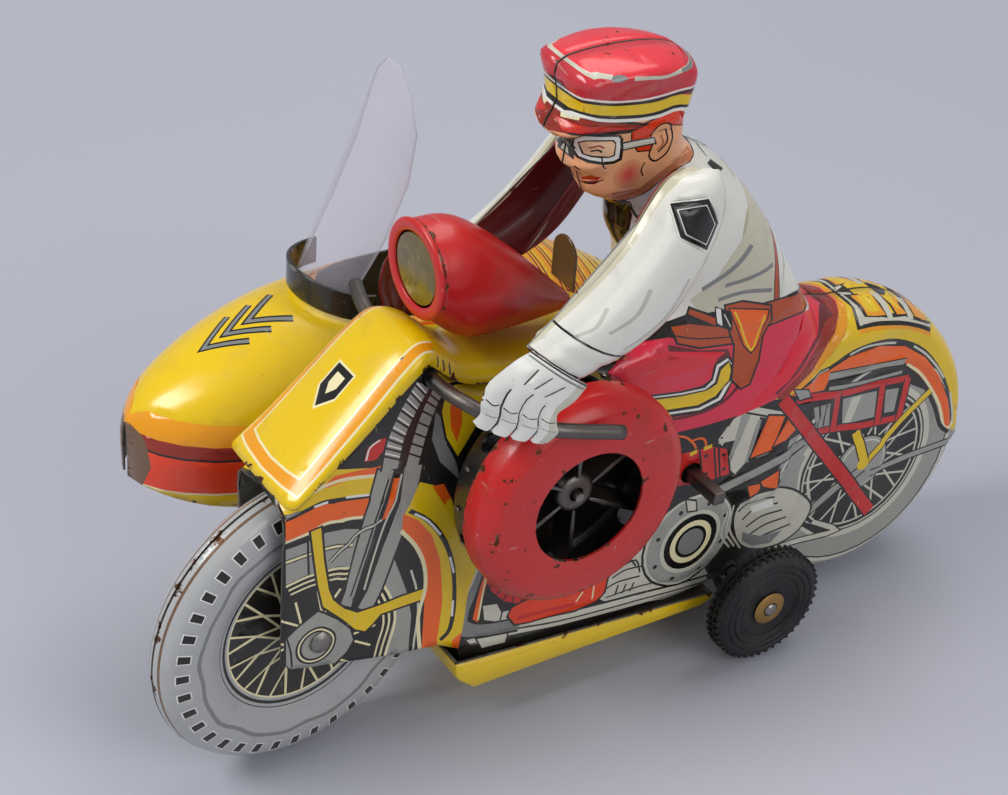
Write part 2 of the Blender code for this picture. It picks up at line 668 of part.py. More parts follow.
gear("great_wheel", "great", GREAT, PLANE_GREAT, 1.2, 2.05, 0.0, BRASS)
gear("first_wheel", "first", FIRST, PLANE_WIDE, 1.0, STAFF_BORE, 0.0, BRASS)
gear("drive_pinion", "drive", AXLE, PLANE_WIDE, 2.2, 1.75,
     mesh_phase(FIRST, AXLE, TEETH["first"], 0.0, TEETH["drive"]), STEEL)
gear("second_wheel", "second", SECOND, PLANE_WIDE, 1.0, STAFF_BORE, 0.0, BRASS)
gear("third_wheel", "third", THIRD, PLANE_SIREN, 1.0, STAFF_BORE, 0.0, BRASS)


def pinion_staff(name, key, centre, middle_x, phase, low, high, finish=STEEL):
    """A pinion cut on its own staff, joined into one solid."""
    leaves = bmesh.new()
    loop = gear_outline(TEETH[key], phase)
    verts = [leaves.verts.new((0.0, y * MM, z * MM)) for y, z in loop]
    face = leaves.faces.new(verts)
    half = 1.1 * MM
    pushed = bmesh.ops.extrude_face_region(leaves, geom=[face])
    moved = [v for v in pushed["geom"] if isinstance(v, bmesh.types.BMVert)]
    bmesh.ops.translate(leaves, vec=(2 * half, 0, 0), verts=moved)
    bmesh.ops.translate(leaves, vec=(middle_x * MM - half, 0, 0), verts=leaves.verts)
    bmesh.ops.recalc_face_normals(leaves, faces=leaves.faces)
    made = add_bmesh(name, leaves, finish, (0, *centre))
    rod = bmesh.new()
    bmesh.ops.create_cone(rod, cap_ends=True, segments=12, radius1=STAFF_R * MM,
                          radius2=STAFF_R * MM, depth=(high - low) * MM)
    bmesh.ops.rotate(rod, cent=(0, 0, 0), matrix=Matrix.Rotation(math.pi / 2, 3, "Y"),
                     verts=rod.verts)
    bmesh.ops.translate(rod, vec=((high + low) / 2 * MM, 0, 0), verts=rod.verts)
    core = as_cutter(add_bmesh(f"{name}_core", rod, None, (0, *centre), group=CUTTERS))
    boolean(made, core, "UNION")
    return made


STAFF_END = PLATE_X + PLATE_THICK / 2 + 0.4
pinion_staff("first_pinion", "first_pinion", FIRST, PLANE_GREAT,
             mesh_phase(GREAT, FIRST, TEETH["great"], 0.0, TEETH["first_pinion"]),
             -STAFF_END, STAFF_END)
pinion_staff("second_pinion", "second_pinion", SECOND, PLANE_GREAT,
             mesh_phase(GREAT, SECOND, TEETH["great"], 0.0, TEETH["second_pinion"]),
             -STAFF_END, STAFF_END)
pinion_staff("third_pinion", "third_pinion", THIRD, PLANE_WIDE,
             mesh_phase(SECOND, THIRD, TEETH["second"], 0.0, TEETH["third_pinion"]),
             -STAFF_END, STAFF_END)
pinion_staff("siren_shaft", "siren", SHAFT, PLANE_SIREN,
             mesh_phase(THIRD, SHAFT, TEETH["third"], 0.0, TEETH["siren"]),
             -STAFF_END, SIREN_BACK + 11.0)

PLATE_OUTLINE = [(-26.0, 56.0), (-8.0, 40.0), (6.0, 29.0), (37.0, 11.4), (45.5, 11.4),
                 (50.0, 42.0), (50.0, 54.0), (36.0, 64.0), (6.0, 74.0), (-14.0, 74.0),
                 (-26.0, 68.0)]
PLATE_HOLES = [(GREAT, 2.05), (FIRST, STAFF_BORE), (AXLE, 1.75), (SECOND, STAFF_BORE),
               (THIRD, STAFF_BORE), (SHAFT, STAFF_BORE)]
for label, side in (("left", 1), ("right", -1)):
    flat_plate(f"motor_{label}_plate",
               [PLATE_OUTLINE] + [ring(centre, radius) for centre, radius in PLATE_HOLES],
               PLATE_THICK, STEEL, (side * PLATE_X, 0, 0))
PILLARS = ((46.0, 50.0), (-22.0, 61.0), (8.0, 33.0), (16.0, 66.6))
for index, (at_y, at_z) in enumerate(PILLARS):
    turned(f"motor_pillar_{index + 1}",
           staff_profile([(1.3, 2 * (PLATE_X - PLATE_THICK / 2 - 0.2))],
                         -PLATE_X + PLATE_THICK / 2 + 0.2), STEEL, (0, at_y, at_z), steps=10)

SPRING_TURNS = 5
SPRING_STEPS = 14
SPRING_INNER = 3.2
SPRING_OUTER = 10.8


def mainspring():
    count = SPRING_TURNS * SPRING_STEPS
    shape = bmesh.new()
    verts = []
    for index in range(count + 1):
        angle = 2 * math.pi * index / SPRING_STEPS
        radius = (SPRING_INNER + (SPRING_OUTER - SPRING_INNER) * index / count) * MM
        verts.append(shape.verts.new((-3.2 * MM, radius * math.cos(angle), radius * math.sin(angle))))
    edges = [shape.edges.new(pair) for pair in zip(verts, verts[1:])]
    pushed = bmesh.ops.extrude_edge_only(shape, edges=edges)
    moved = [v for v in pushed["geom"] if isinstance(v, bmesh.types.BMVert)]
    bmesh.ops.translate(shape, vec=(6.4 * MM, 0, 0), verts=moved)
    made = add_bmesh("mainspring", shape, BLUED, (0, *GREAT))
    solidify(made, 0.5, 0.0)


mainspring()
STAR_ARMS = 4


def star_outline():
    loop = []
    for index in range(STAR_ARMS):
        middle = 2 * math.pi * index / STAR_ARMS
        for radius, turn in ((3.2, -0.5), (7.0, -0.14), (7.0, 0.14), (3.2, 0.5)):
            loop.append((radius * math.cos(middle + turn), radius * math.sin(middle + turn)))
    return loop


flat_plate("click_spring", [star_outline(), ring((0, 0), 2.05, 10)], 0.5, BLUED, (-4.4, *GREAT))
arbor = turned("winding_arbor", staff_profile([(1.9, ARBOR_END - 7.0 + STAFF_END)], -STAFF_END),
               STEEL, (0, *GREAT), steps=14)
key_square = box_shape((10.0, -1.5, -1.5), (ARBOR_END, 1.5, 1.5))
boolean(arbor, as_cutter(add_bmesh("key_square", key_square, None, (0, *GREAT), group=CUTTERS)),
        "UNION")

# ---- sidecar ----------------------------------------------------------------------------------------------
SIDE_LENGTH = SIDECAR_TAIL - SIDECAR_NOSE
SIDE_TOP = [(0.0, 64.0), (0.06, 71.2), (0.2, 79.5), (0.36, 83.2), (0.6, 82.4), (0.8, 77.5), (1.0, 61.0)]
SIDE_LOW = [(0.0, 51.0), (0.12, 47.0), (0.3, 45.5), (1.0, 44.0)]
SIDE_WIDTH = [(0.0, 0.05), (0.012, 0.24), (0.05, 0.5), (0.12, 0.73), (0.25, 0.94), (0.4, 1.0),
              (0.65, 0.98), (0.85, 0.8), (0.95, 0.56), (1.0, 0.1)]
SIDE_STATIONS = (0.0, 0.012, 0.05, 0.12, 0.2, 0.3, 0.42, 0.54, 0.66, 0.76, 0.85, 0.92, 0.97, 1.0)


def sidecar_place(u, v):
    reach = u * (len(SIDE_STATIONS) - 1)
    index = min(int(reach + 1e-6), len(SIDE_STATIONS) - 2)
    s = SIDE_STATIONS[index] + (SIDE_STATIONS[index + 1] - SIDE_STATIONS[index]) * (reach - index)
    top, low = along(SIDE_TOP, s), along(SIDE_LOW, s)
    half = SIDECAR_HALF * along(SIDE_WIDTH, s)
    waist = low + (top - low) * 0.42
    if v < 0.15 or v > 0.85:
        part = v / 0.15 if v < 0.15 else (1.0 - v) / 0.15
        across = half * (-1 if v < 0.15 else 1) * (0.9 + 0.1 * part)
        return SIDECAR_X + across, SIDECAR_NOSE + SIDE_LENGTH * s, low + (waist - low) * part
    angle = math.pi * (v - 0.15) / 0.7
    return (SIDECAR_X - half * math.cos(angle), SIDECAR_NOSE + SIDE_LENGTH * s,
            waist + (top - waist) * math.sin(angle))


sidecar = mapped_grid("sidecar_shell", len(SIDE_STATIONS) - 1, 14, sidecar_place, YELLOW)
solidify(sidecar, 0.8, 1.0)
smooth_look(sidecar)
cockpit = bmesh.new()
bmesh.ops.create_cone(cockpit, cap_ends=True, segments=20, radius1=1.0, radius2=1.0, depth=1.0)
bmesh.ops.transform(cockpit, matrix=Matrix.Diagonal((13.5 * MM, 22.0 * MM, 40.0 * MM, 1.0)),
                    verts=cockpit.verts)
boolean(sidecar, as_cutter(add_bmesh("cockpit_cut", cockpit, None, (SIDECAR_X, -17.0, 92.0),
                                     group=CUTTERS)))

FLOOR_Z = 46.6
FLOOR_STATIONS = (0.1, 0.16, 0.25, 0.4, 0.65, 0.8, 0.88, 0.93)


def floor_outline():
    near = [(SIDECAR_HALF * along(SIDE_WIDTH, s) * 0.9 - 1.6, SIDECAR_NOSE + SIDE_LENGTH * s)
            for s in FLOOR_STATIONS]
    return near + [(-x, y) for x, y in reversed(near)]


flat_plate("sidecar_floor", [floor_outline()], 0.8, STEEL, (SIDECAR_X, 0, FLOOR_Z), turn=(0, 0, 0))

# bench seat inside the cockpit, a folded strip of the same tin
seat_fold = flat_plate("sidecar_seat",
                       [[(4.0, 0.0), (4.0, 8.0), (-9.0, 8.0), (-9.0, 8.7), (4.7, 8.7), (8.0, 24.0),
                         (8.7, 24.0), (4.7, 7.0), (4.7, 0.0)]], 22.0, YELLOW,
                       (SIDECAR_X, -8.0, FLOOR_Z + 0.8))

# struts that carry the sidecar under its floor
STRUT_TOP = 43.4
for label, at_y in (("front", -26.0), ("rear", SIDECAR_WHEEL_Y)):
    strut = box_shape((SIDECAR_X - 18.0, at_y - 3.0, STRUT_TOP - 1.2),
                      (-13.4, at_y + 3.0, STRUT_TOP))
    add_bmesh(f"sidecar_{label}_strut", strut, STEEL)
LEG_X = SIDECAR_X - 19.5
leg = box_shape((LEG_X - 0.6, SIDECAR_WHEEL_Y - 4.0, DRIVE_R - 4.0),
                (LEG_X + 0.6, SIDECAR_WHEEL_Y + 4.0, STRUT_TOP))
leg_plate = add_bmesh("sidecar_wheel_leg", leg, STEEL)
boolean(leg_plate, rod_cutter("leg_hole", (LEG_X, SIDECAR_WHEEL_Y, DRIVE_R), 1.9, 6))
rubber_wheel("sidecar_wheel", (SIDECAR_WHEEL_X, SIDECAR_WHEEL_Y, DRIVE_R))
turned("sidecar_axle",
       [(0.0, 11.2), (2.9, 11.2), (2.9, 10.4), (1.6, 10.4), (1.6, -4.0), (2.9, -4.0), (2.9, -4.8),
        (0.0, -4.8)], STEEL, (SIDECAR_WHEEL_X + 1.0, SIDECAR_WHEEL_Y, DRIVE_R), steps=12)

# windscreen and the black band that clamps it round the front of the cockpit
BAND_Y = -30.0
BAND_R = 13.2
BAND_HIGH = 6.2
SCREEN_R = 12.3
SCREEN_HIGH = 49.0
SCREEN_BASE = 83.4
SCREEN_RAKE = 0.42
SCREEN_SIDE = [(0.0, 0.84), (0.3, 1.0), (0.55, 1.0), (0.75, 0.84), (0.9, 0.55), (1.0, 0.16)]


def band_point(turn, radius):
    return (SIDECAR_X + radius * math.sin(turn), BAND_Y - radius * 1.15 * math.cos(turn))


def sidecar_top(x, y):
    """Height of the sidecar's upper skin over a point in plan."""
    s = (y - SIDECAR_NOSE) / SIDE_LENGTH
    top, low = along(SIDE_TOP, s), along(SIDE_LOW, s)
    across = (x - SIDECAR_X) / (SIDECAR_HALF * along(SIDE_WIDTH, s))
    waist = low + (top - low) * 0.42
    return waist + (top - waist) * math.sqrt(1.0 - across * across)


def band_place(u, v):
    x, y = band_point(math.radians(-78 + 156 * u), BAND_R)
    return x, y, sidecar_top(x, y) + 1.6 + BAND_HIGH * v


band = mapped_grid("windscreen_band", 10, 1, band_place, BLACK)
solidify(band, 0.7, 0.0)


def screen_place(u, v):
    turn = math.radians(62) * (2 * u - 1) * along(SCREEN_SIDE, v)
    x, y = band_point(turn, SCREEN_R)
    rise = SCREEN_HIGH * v
    return x, y + SCREEN_RAKE * rise, SCREEN_BASE + rise


screen = mapped_grid("windscreen", 8, 8, screen_place, CLEAR)
solidify(screen, 0.4, 0.0)
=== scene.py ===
"""Tin wind-up motorcycle with rider, siren drum and sidecar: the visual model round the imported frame."""
import math

import bmesh
import bpy
import numpy as np
from bpy.props import FloatProperty, FloatVectorProperty, IntProperty, PointerProperty
from mathutils import Matrix, Vector
from mathutils.geometry import delaunay_2d_cdt


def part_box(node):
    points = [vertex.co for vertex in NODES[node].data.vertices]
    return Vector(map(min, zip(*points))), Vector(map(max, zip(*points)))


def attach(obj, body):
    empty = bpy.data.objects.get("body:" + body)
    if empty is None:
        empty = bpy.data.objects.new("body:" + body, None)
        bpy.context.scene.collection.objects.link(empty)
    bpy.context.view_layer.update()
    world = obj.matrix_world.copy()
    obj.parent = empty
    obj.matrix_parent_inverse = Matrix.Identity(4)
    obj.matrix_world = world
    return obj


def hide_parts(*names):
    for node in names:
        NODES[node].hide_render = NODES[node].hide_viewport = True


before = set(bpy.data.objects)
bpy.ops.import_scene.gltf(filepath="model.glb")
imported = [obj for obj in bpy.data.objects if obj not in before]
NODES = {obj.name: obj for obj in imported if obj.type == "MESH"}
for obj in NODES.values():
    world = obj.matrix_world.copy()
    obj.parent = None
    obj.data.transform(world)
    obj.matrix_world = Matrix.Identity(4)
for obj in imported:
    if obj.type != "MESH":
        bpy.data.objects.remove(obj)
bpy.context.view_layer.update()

bl_info = {
    "name": "Tin Motorcycle",
    "version": (1, 0, 0),
    "blender": (4, 5, 0),
    "location": "3D View > Sidebar > Tin Motorcycle",
    "description": "Builds a printed tin motorcycle, its rider, siren and sidecar round a fixed frame",
    "category": "Object",
}

MM = 0.001
SIREN_MIDDLE = (20.0, -13.7, 62.3)
LOW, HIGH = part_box("siren_impeller")
SHIFT = (LOW + HIGH) / 2 / MM - Vector(SIREN_MIDDLE)


# ---- inks and tables
def lacquer(red, green, blue):
    """Linear colour of a printed ink given on the usual 0 to 255 scale."""
    shares = [value / 255 for value in (red, green, blue)]
    return tuple(s / 12.92 if s <= 0.04045 else ((s + 0.055) / 1.055) ** 2.4 for s in shares)


INKS = {
    "yellow": (234, 196, 4), "orange": (244, 98, 4), "amber": (240, 158, 8), "cream": (240, 230, 182),
    "mist": (158, 158, 150), "pale": (205, 203, 186), "fold": (128, 130, 128), "ink": (16, 16, 18),
    "red": (206, 22, 20), "rose": (222, 40, 72), "crimson": (228, 22, 50), "maroon": (104, 10, 26),
    "brick": (150, 34, 18), "peach": (246, 178, 128), "peachlight": (244, 198, 156),
    # The tan on the next line fills the neck under the jaw as painted shade under the chin; it also draws
    # the line inside the ear.
    "tan": (196, 120, 76), "blush": (222, 92, 84), "blush_1": (231, 160, 116), "blush_2": (229, 148, 109),
    "blush_3": (227, 132, 101), "blush_4": (225, 114, 94),
    # The greyed shirt colour on the next line is painted shade on the shirt: the shaded rear of the torso, a
    # stroke by the collar, and the sleeves' long edges.
    "white": (236, 236, 228), "shirt": (226, 226, 216), "sand": (203, 198, 174),
    "strap": (184, 72, 18), "flame": (236, 58, 6), "lips": (212, 38, 26), "cap": (232, 40, 58),
    # The deeper cap red on the next line is a shaded copy of the cap red: painted shade on the lower sides
    # of the crown, whose top keeps the lighter red.
    "capdeep": (202, 36, 54), "silver": (176, 178, 178), "rustline": (112, 84, 60),
    "shade": (190, 190, 180), "plum": (122, 16, 30),
}
COLOURS = {name: lacquer(*shares) for name, shares in INKS.items()}


def through(points, steps, closed=False):
    """Points on a smooth curve through the given ones."""
    given = [Vector(point) for point in points]
    if closed:
        given = [given[-1]] + given + given[:2]
    else:
        given = [2 * given[0] - given[1]] + given + [2 * given[-1] - given[-2]]
    curve = []
    for index in range(1, len(given) - 2):
        before, here, there, after = given[index - 1:index + 3]
        for step in range(steps):
            t = step / steps
            curve.append(0.5 * ((2 * here) + (there - before) * t
                                + (2 * before - 5 * here + 4 * there - after) * t * t
                                + (3 * here - before - 3 * there + after) * t * t * t))
    if not closed:
        curve.append(given[-2])
    return [tuple(point) for point in curve]


def along(stops, where):
    """Straight-line reading of a table of (place, value) stops."""
    for (low, first), (high, second) in zip(stops, stops[1:]):
        if where <= high:
            part = max(0.0, (where - low) / (high - low))
            return first + (second - first) * part
    return stops[-1][1]


def eased(stops, where):
    """Smooth reading of a table of stops."""
    return along(fine_table(stops), where)


TABLES = {}


def fine_table(stops):
    key = tuple(stops)
    if key not in TABLES:
        TABLES[key] = through(stops, 6) if len(stops) > 2 else list(stops)
    return TABLES[key]


def arc(centre, radius, start, stop, count):
    angles = [math.radians(start + (stop - start) * i / count) for i in range(count + 1)]
    return [(centre[0] + radius * math.cos(a), centre[1] + radius * math.sin(a)) for a in angles]


# ---- printed shapes
def stroke(points, width, closed=False):
    """Four-sided pieces of a line of the given width, sharing their corners."""
    spots = [Vector(p[:2]) for p in points]
    spots = [s for i, s in enumerate(spots) if i == 0 or (s - spots[i - 1]).length > 1e-4]
    if closed and (spots[0] - spots[-1]).length < 1e-4:
        spots.pop()
    if len(spots) < 2:
        return []
    count = len(spots)
    lefts, rights = [], []
    for index, spot in enumerate(spots):
        sides = []
        if closed or index > 0:
            sides.append((spot - spots[index - 1]).normalized())
        if closed or index < count - 1:
            sides.append((spots[(index + 1) % count] - spot).normalized())
        way = sum(sides, Vector((0.0, 0.0)))
        way = way.normalized() if way.length > 1e-6 else sides[0]
        spread = width / 2 / max(0.45, way.dot(sides[0]))
        across = Vector((-way.y, way.x)) * spread
        lefts.append(tuple(spot + across))
        rights.append(tuple(spot - across))
    last = count if closed else count - 1
    quads = []
    for index in range(last):
        after = (index + 1) % count
        quads.append([lefts[index], lefts[after], rights[after], rights[index]])
    return quads


def ring_shapes(centre, inner, outer, steps=40):
    """A flat ring as four-sided pieces, or a disc when its inner radius is nothing."""
    if inner <= 0:
        return [arc(centre, outer, 0, 360, max(12, steps * 2 // 3))[:-1]]
    return stroke(arc(centre, (inner + outer) / 2, 0, 360, steps)[:-1], outer - inner, True)


def spoke_shapes(centre, inner, outer, count, width):
    lines = []
    for index in range(count):
        lean = 0.42 if index % 2 else -0.42
        turn = 2 * math.pi * index / count
        start = (centre[0] + outer * math.cos(turn), centre[1] + outer * math.sin(turn))
        stop = (centre[0] + inner * math.cos(turn + lean), centre[1] + inner * math.sin(turn + lean))
        lines += stroke([start, stop], width)
    return lines


def drawn(kind, ink, text):
    """Paths of one ink, split by slashes: filled, filled with an outline in a second ink, or lines.

    The points are in tenths of a millimetre.
    """
    heads = {"fill": 1, "line": 2, "trim": 3}[kind]
    words = text.split(None, heads)
    smooth = words[heads - 1] == "1"
    shapes = []
    for path in words[heads].split("/"):
        numbers = [float(word) / 10 for word in path.split()]
        points = list(zip(numbers[::2], numbers[1::2]))
        if smooth and len(points) > 2:
            points = through(points, 3, kind != "line")
        if kind == "line":
            shapes += [(ink, quad) for quad in stroke(points, float(words[0]))]
        if kind == "trim":
            shapes += [(words[0], quad) for quad in stroke(points, float(words[1]) * 2, True)]
        if kind != "line":
            shapes.append((ink, points))
    return shapes


def printed(table):
    """Polygons with their inks in printing order, from a written table of shapes."""
    shapes = []
    for row in " ".join(table.split()).split(";"):
        words = row.split()
        if not words:
            continue
        kind, ink = words[:2]
        if kind in ("fill", "trim", "line"):
            shapes += drawn(kind, ink, " ".join(words[2:]))
            continue
        numbers = [float(word) for word in words[2:]]
        if kind == "ring":
            shapes += [(ink, loop) for loop in ring_shapes(numbers[:2], *numbers[2:])]
        elif kind == "spokes":
            loops = spoke_shapes(numbers[:2], numbers[2], numbers[3], int(numbers[4]), numbers[5])
            shapes += [(ink, loop) for loop in loops]
        elif kind == "studs":
            for turn in range(int(numbers[3])):
                angle = 2 * math.pi * (turn + 0.5) / numbers[3]
                spot = (numbers[0] + numbers[2] * math.cos(angle),
                        numbers[1] + numbers[2] * math.sin(angle))
                shapes.append((ink, arc(spot, numbers[4], 0, 360, 8)[:-1]))
        elif kind == "coils":
            width, wide, count = numbers[:3]
            path = through(list(zip(numbers[3::2], numbers[4::2])), 6)
            for index in range(int(count)):
                reach = (index + 0.5) / count * (len(path) - 1)
                here, there = Vector(path[int(reach)]), Vector(path[min(int(reach) + 1, len(path) - 1)])
                spot = here.lerp(there, reach % 1)
                way = (there - here).normalized()
                lean = Vector((-way.y, way.x)) * 0.9 + way * 0.35
                half = lean * wide / 2
                shapes += [(ink, quad) for quad in stroke([spot - half, spot + half], width)]
        else:
            raise ValueError(f"the printed table has an unknown shape {kind}")
    return shapes


def gap_to(points, line):
    """Distance from each point to a line of straight parts."""
    gap = np.full(len(points), 1e9)
    stops = np.array([p[:2] for p in line], float)
    for start, end in zip(stops[:-1], stops[1:]):
        span = end - start
        part = np.clip((points - start) @ span / max(1e-9, span @ span), 0, 1)
        gap = np.minimum(gap, np.hypot(*(points - start - part[:, None] * span).T))
    return gap


def in_loop(points, loop):
    """Which points lie inside a closed loop."""
    found = np.zeros(len(points), bool)
    corners = np.array([p[:2] for p in loop], float)
    for (x0, y0), (x1, y1) in zip(corners, np.roll(corners, -1, 0)):
        crosses = (y0 > points[:, 1]) != (y1 > points[:, 1])
        if y0 != y1:
            found ^= crosses & (points[:, 0] < (x1 - x0) * (points[:, 1] - y0) / (y1 - y0) + x0)
    return found


def split_line(line, longest):
    """The same line with no part longer than a limit."""
    made = []
    for start, end in zip(line, line[1:]):
        start, end = Vector(start[:2]), Vector(end[:2])
        parts = max(1, math.ceil((end - start).length / longest))
        made += [tuple(start.lerp(end, i / parts)) for i in range(parts)]
    made.append(tuple(line[-1][:2]))
    return made


def cut_sheet(outline, base, shapes, spacing, loose=()):
    """Cuts a flat sheet along every printed shape: flat points, triangles, ink of each, rim distance."""
    points, edges, loops = [], [], [outline] + [loop for _, loop in shapes]
    for loop in loops:
        start, count = len(points), len(loop)
        points += [Vector(p[:2]) for p in loop]
        edges += [(start + i, start + (i + 1) % count) for i in range(count)]
    rim = [tuple(p[:2]) for p in outline] + [tuple(outline[0][:2])]
    corners = np.array(rim)
    low, high = corners.min(0), corners.max(0)
    across = np.arange(low[0] + spacing / 2, high[0], spacing)
    rows = np.arange(low[1] + spacing / 2, high[1], spacing * 0.87)
    grid = np.array([(x + (i % 2) * spacing / 2, y) for i, y in enumerate(rows) for x in across])
    grid = grid[in_loop(grid, outline)]
    grid = grid[gap_to(grid, rim) > spacing * 0.5]
    points += [Vector(p) for p in grid]
    points += [Vector(p) for p in loose]
    flat, _, parts, _, _, _ = delaunay_2d_cdt(points, edges, [], 0, 0.0005, False)
    flat = np.array([tuple(p) for p in flat], float)
    parts = np.array([tuple(p) for p in parts])
    middles = flat[parts].mean(axis=1)
    owner = np.where(in_loop(middles, outline), 0, -1)
    order = np.argsort(middles[:, 0])
    ranked = middles[order]
    for index, (_, loop) in enumerate(shapes):
        ends = np.array([p[:2] for p in loop])
        (left, bottom), (right, top) = ends.min(0), ends.max(0)
        start, stop = np.searchsorted(ranked[:, 0], (left, right))
        near = order[start:stop]
        spots = middles[near]
        keep = (spots[:, 1] >= bottom) & (spots[:, 1] <= top)
        near, spots = near[keep], spots[keep]
        inside = near[in_loop(spots, loop)]
        owner[inside[owner[inside] >= 0]] = index + 1
    inks = [base] + [ink for ink, _ in shapes]
    span = flat[parts[:, 1:]] - flat[parts[:, :1]]
    area = span[:, 0, 0] * span[:, 1, 1] - span[:, 0, 1] * span[:, 1, 0]
    names = np.array(inks + ["hole"])[owner]
    keep = (owner >= 0) & (names != "hole") & (np.abs(area) > 1e-7)
    parts, area = parts[keep], area[keep]
    parts[area < 0] = parts[area < 0][:, ::-1]
    colours = list(names[keep])
    used = np.unique(parts)
    renumber = np.full(len(flat), -1)
    renumber[used] = np.arange(len(used))
    return flat[used], renumber[parts], colours, gap_to(flat[used], rim)


# ---- meshes
def linked(name, data):
    """A new object in the scene, at the origin."""
    made = bpy.data.objects.new(name, data)
    bpy.context.scene.collection.objects.link(made)
    return made


def mark_worn(made, values):
    """Stores how worn each point is, from 0 to 1."""
    wear = made.data.attributes.new("worn", "FLOAT", "POINT")
    wear.data.foreach_set("value", np.array(values, np.float32))


def face_up(made):
    """Turns an open sheet so that its highest face points up."""
    probe = max(made.data.polygons, key=lambda face: face.center.z)
    if probe.normal.z < 0:
        made.data.flip_normals()


def add_piece(name, verts, faces, finish, inks=None, worn=None, angle=35.0, shift=True):
    """A new piece from points in millimetres, with its printed colours and its worn rims."""
    spots = np.array(verts, float).reshape(-1, 3)
    if shift:
        spots = spots + np.array(SHIFT)
    data = bpy.data.meshes.new(name)
    data.from_pydata((spots * MM).tolist(), [], [list(map(int, f)) for f in faces])
    if inks is not None:
        paint = data.attributes.new("print", "FLOAT_COLOR", "CORNER")
        sizes = [len(f) for f in faces]
        flat = np.repeat(np.array([(*COLOURS[ink], 1.0) for ink in inks], np.float32), sizes, axis=0)
        paint.data.foreach_set("color", flat.ravel())
    for entry in finish if isinstance(finish, (list, tuple)) else [finish]:
        data.materials.append(entry)
    made = linked(name, data)
    if worn is not None:
        mark_worn(made, worn)
    smooth(made, angle)
    return made


def smooth(made, angle=35.0):
    data = made.data
    data.polygons.foreach_set("use_smooth", [True] * len(data.polygons))
    data.set_sharp_from_angle(angle=math.radians(angle))
    data.update()


def tidy_normals(made, gap=0.00001):
    shape = bmesh.new()
    shape.from_mesh(made.data)
    bmesh.ops.remove_doubles(shape, verts=shape.verts, dist=gap)
    bmesh.ops.recalc_face_normals(shape, faces=shape.faces)
    if shape.calc_volume(signed=True) < 0:
        bmesh.ops.reverse_faces(shape, faces=shape.faces)
    shape.to_mesh(made.data)
    shape.free()
    return made


def thicken(made, thickness, offset=-1.0, inner=0):
    wall = made.modifiers.new("wall", "SOLIDIFY")
    wall.thickness = thickness * MM
    wall.offset = offset
    wall.use_even_offset = False
    wall.material_offset = inner
    wall.material_offset_rim = inner
    return made


def round_edges(made, width, segments=2, angle=40.0):
    soft = made.modifiers.new("soft_edges", "BEVEL")
    soft.width = width * MM
    soft.segments = segments
    soft.limit_method = "ANGLE"
    soft.angle_limit = math.radians(angle)
    return made


def settle(made):
    """Turns a piece's live modifiers into plain mesh."""
    bpy.context.view_layer.update()
    graph = bpy.context.evaluated_depsgraph_get()
    data = bpy.data.meshes.new_from_object(made.evaluated_get(graph), depsgraph=graph)
    made.modifiers.clear()
    made.data = data
    return made


def lathe(name, profile, finish, centre, steps=48, turn=None, closed=False, inks=None, angle=35.0):
    """A turned piece about the X axis from (radius, place along the axis) stops."""
    spots, rings = [], []
    for radius, height in profile:
        if radius <= 1e-6:
            rings.append([len(spots)] * steps)
            spots.append((height, 0.0, 0.0))
            continue
        rings.append(list(range(len(spots), len(spots) + steps)))
        for step in range(steps):
            a = 2 * math.pi * step / steps
            spots.append((height, radius * math.cos(a), radius * math.sin(a)))
    faces, colours = [], []
    pairs = list(zip(rings, rings[1:] + ([rings[0]] if closed else [])))
    for band, (first, second) in enumerate(pairs):
        for step in range(steps):
            after = (step + 1) % steps
            corners = [first[step], first[after], second[after], second[step]]
            loop = list(dict.fromkeys(corners))
            if len(loop) > 2:
                faces.append(loop)
                if inks:
                    colours.append(inks[band])
    matrix = (turn or Matrix.Identity(3)).to_3x3()
    spots = [matrix @ Vector(s) + Vector(centre) for s in spots]
    made = add_piece(name, spots, faces, finish, colours or None, angle=angle)
    return smooth_after(tidy_normals(made), angle)


def smooth_after(made, angle):
    smooth(made, angle)
    return made


def rounded(profile, radius=0.3, steps=2):
    """A profile with its inner corners rounded off."""
    made = [profile[0]]
    for before, here, after in zip(profile, profile[1:], profile[2:]):
        here = Vector(here)
        back, ahead = Vector(before) - here, Vector(after) - here
        reach = min(radius, back.length * 0.45, ahead.length * 0.45)
        if reach < 0.02:
            made.append(tuple(here))
            continue
        start, end = here + back.normalized() * reach, here + ahead.normalized() * reach
        for step in range(steps + 1):
            t = step / steps
            made.append(tuple(start.lerp(here, t).lerp(here.lerp(end, t), t)))
    return made + [profile[-1]]


def sweep(name, path, radius, finish, sides=14):
    """A round rod along a path, with domed ends."""
    path = [Vector(p) for p in path]
    spots, faces = [], []
    ways = []
    for index in range(len(path)):
        way = path[min(index + 1, len(path) - 1)] - path[max(index - 1, 0)]
        ways.append(way.normalized())
    up = Vector((0.0, 0.0, 1.0))
    stations = [(path[0] - ways[0] * radius * 0.25, ways[0], radius * 0.7)]
    stations += [(p, w, radius) for p, w in zip(path, ways)]
    stations.append((path[-1] + ways[-1] * radius * 0.25, ways[-1], radius * 0.7))
    for spot, way, reach in stations:
        across = way.cross(up).normalized()
        lift = across.cross(way).normalized()
        for side in range(sides):
            a = 2 * math.pi * side / sides
            spots.append(spot + across * reach * math.cos(a) + lift * reach * math.sin(a))
    for row in range(len(stations) - 1):
        for side in range(sides):
            after = (side + 1) % sides
            faces.append([row * sides + side, row * sides + after,
                          (row + 1) * sides + after, (row + 1) * sides + side])
    faces.append(list(range(sides)))
    faces.append([len(spots) - sides + i for i in range(sides)])
    made = add_piece(name, spots, faces, finish)
    return smooth_after(tidy_normals(made), 50.0)


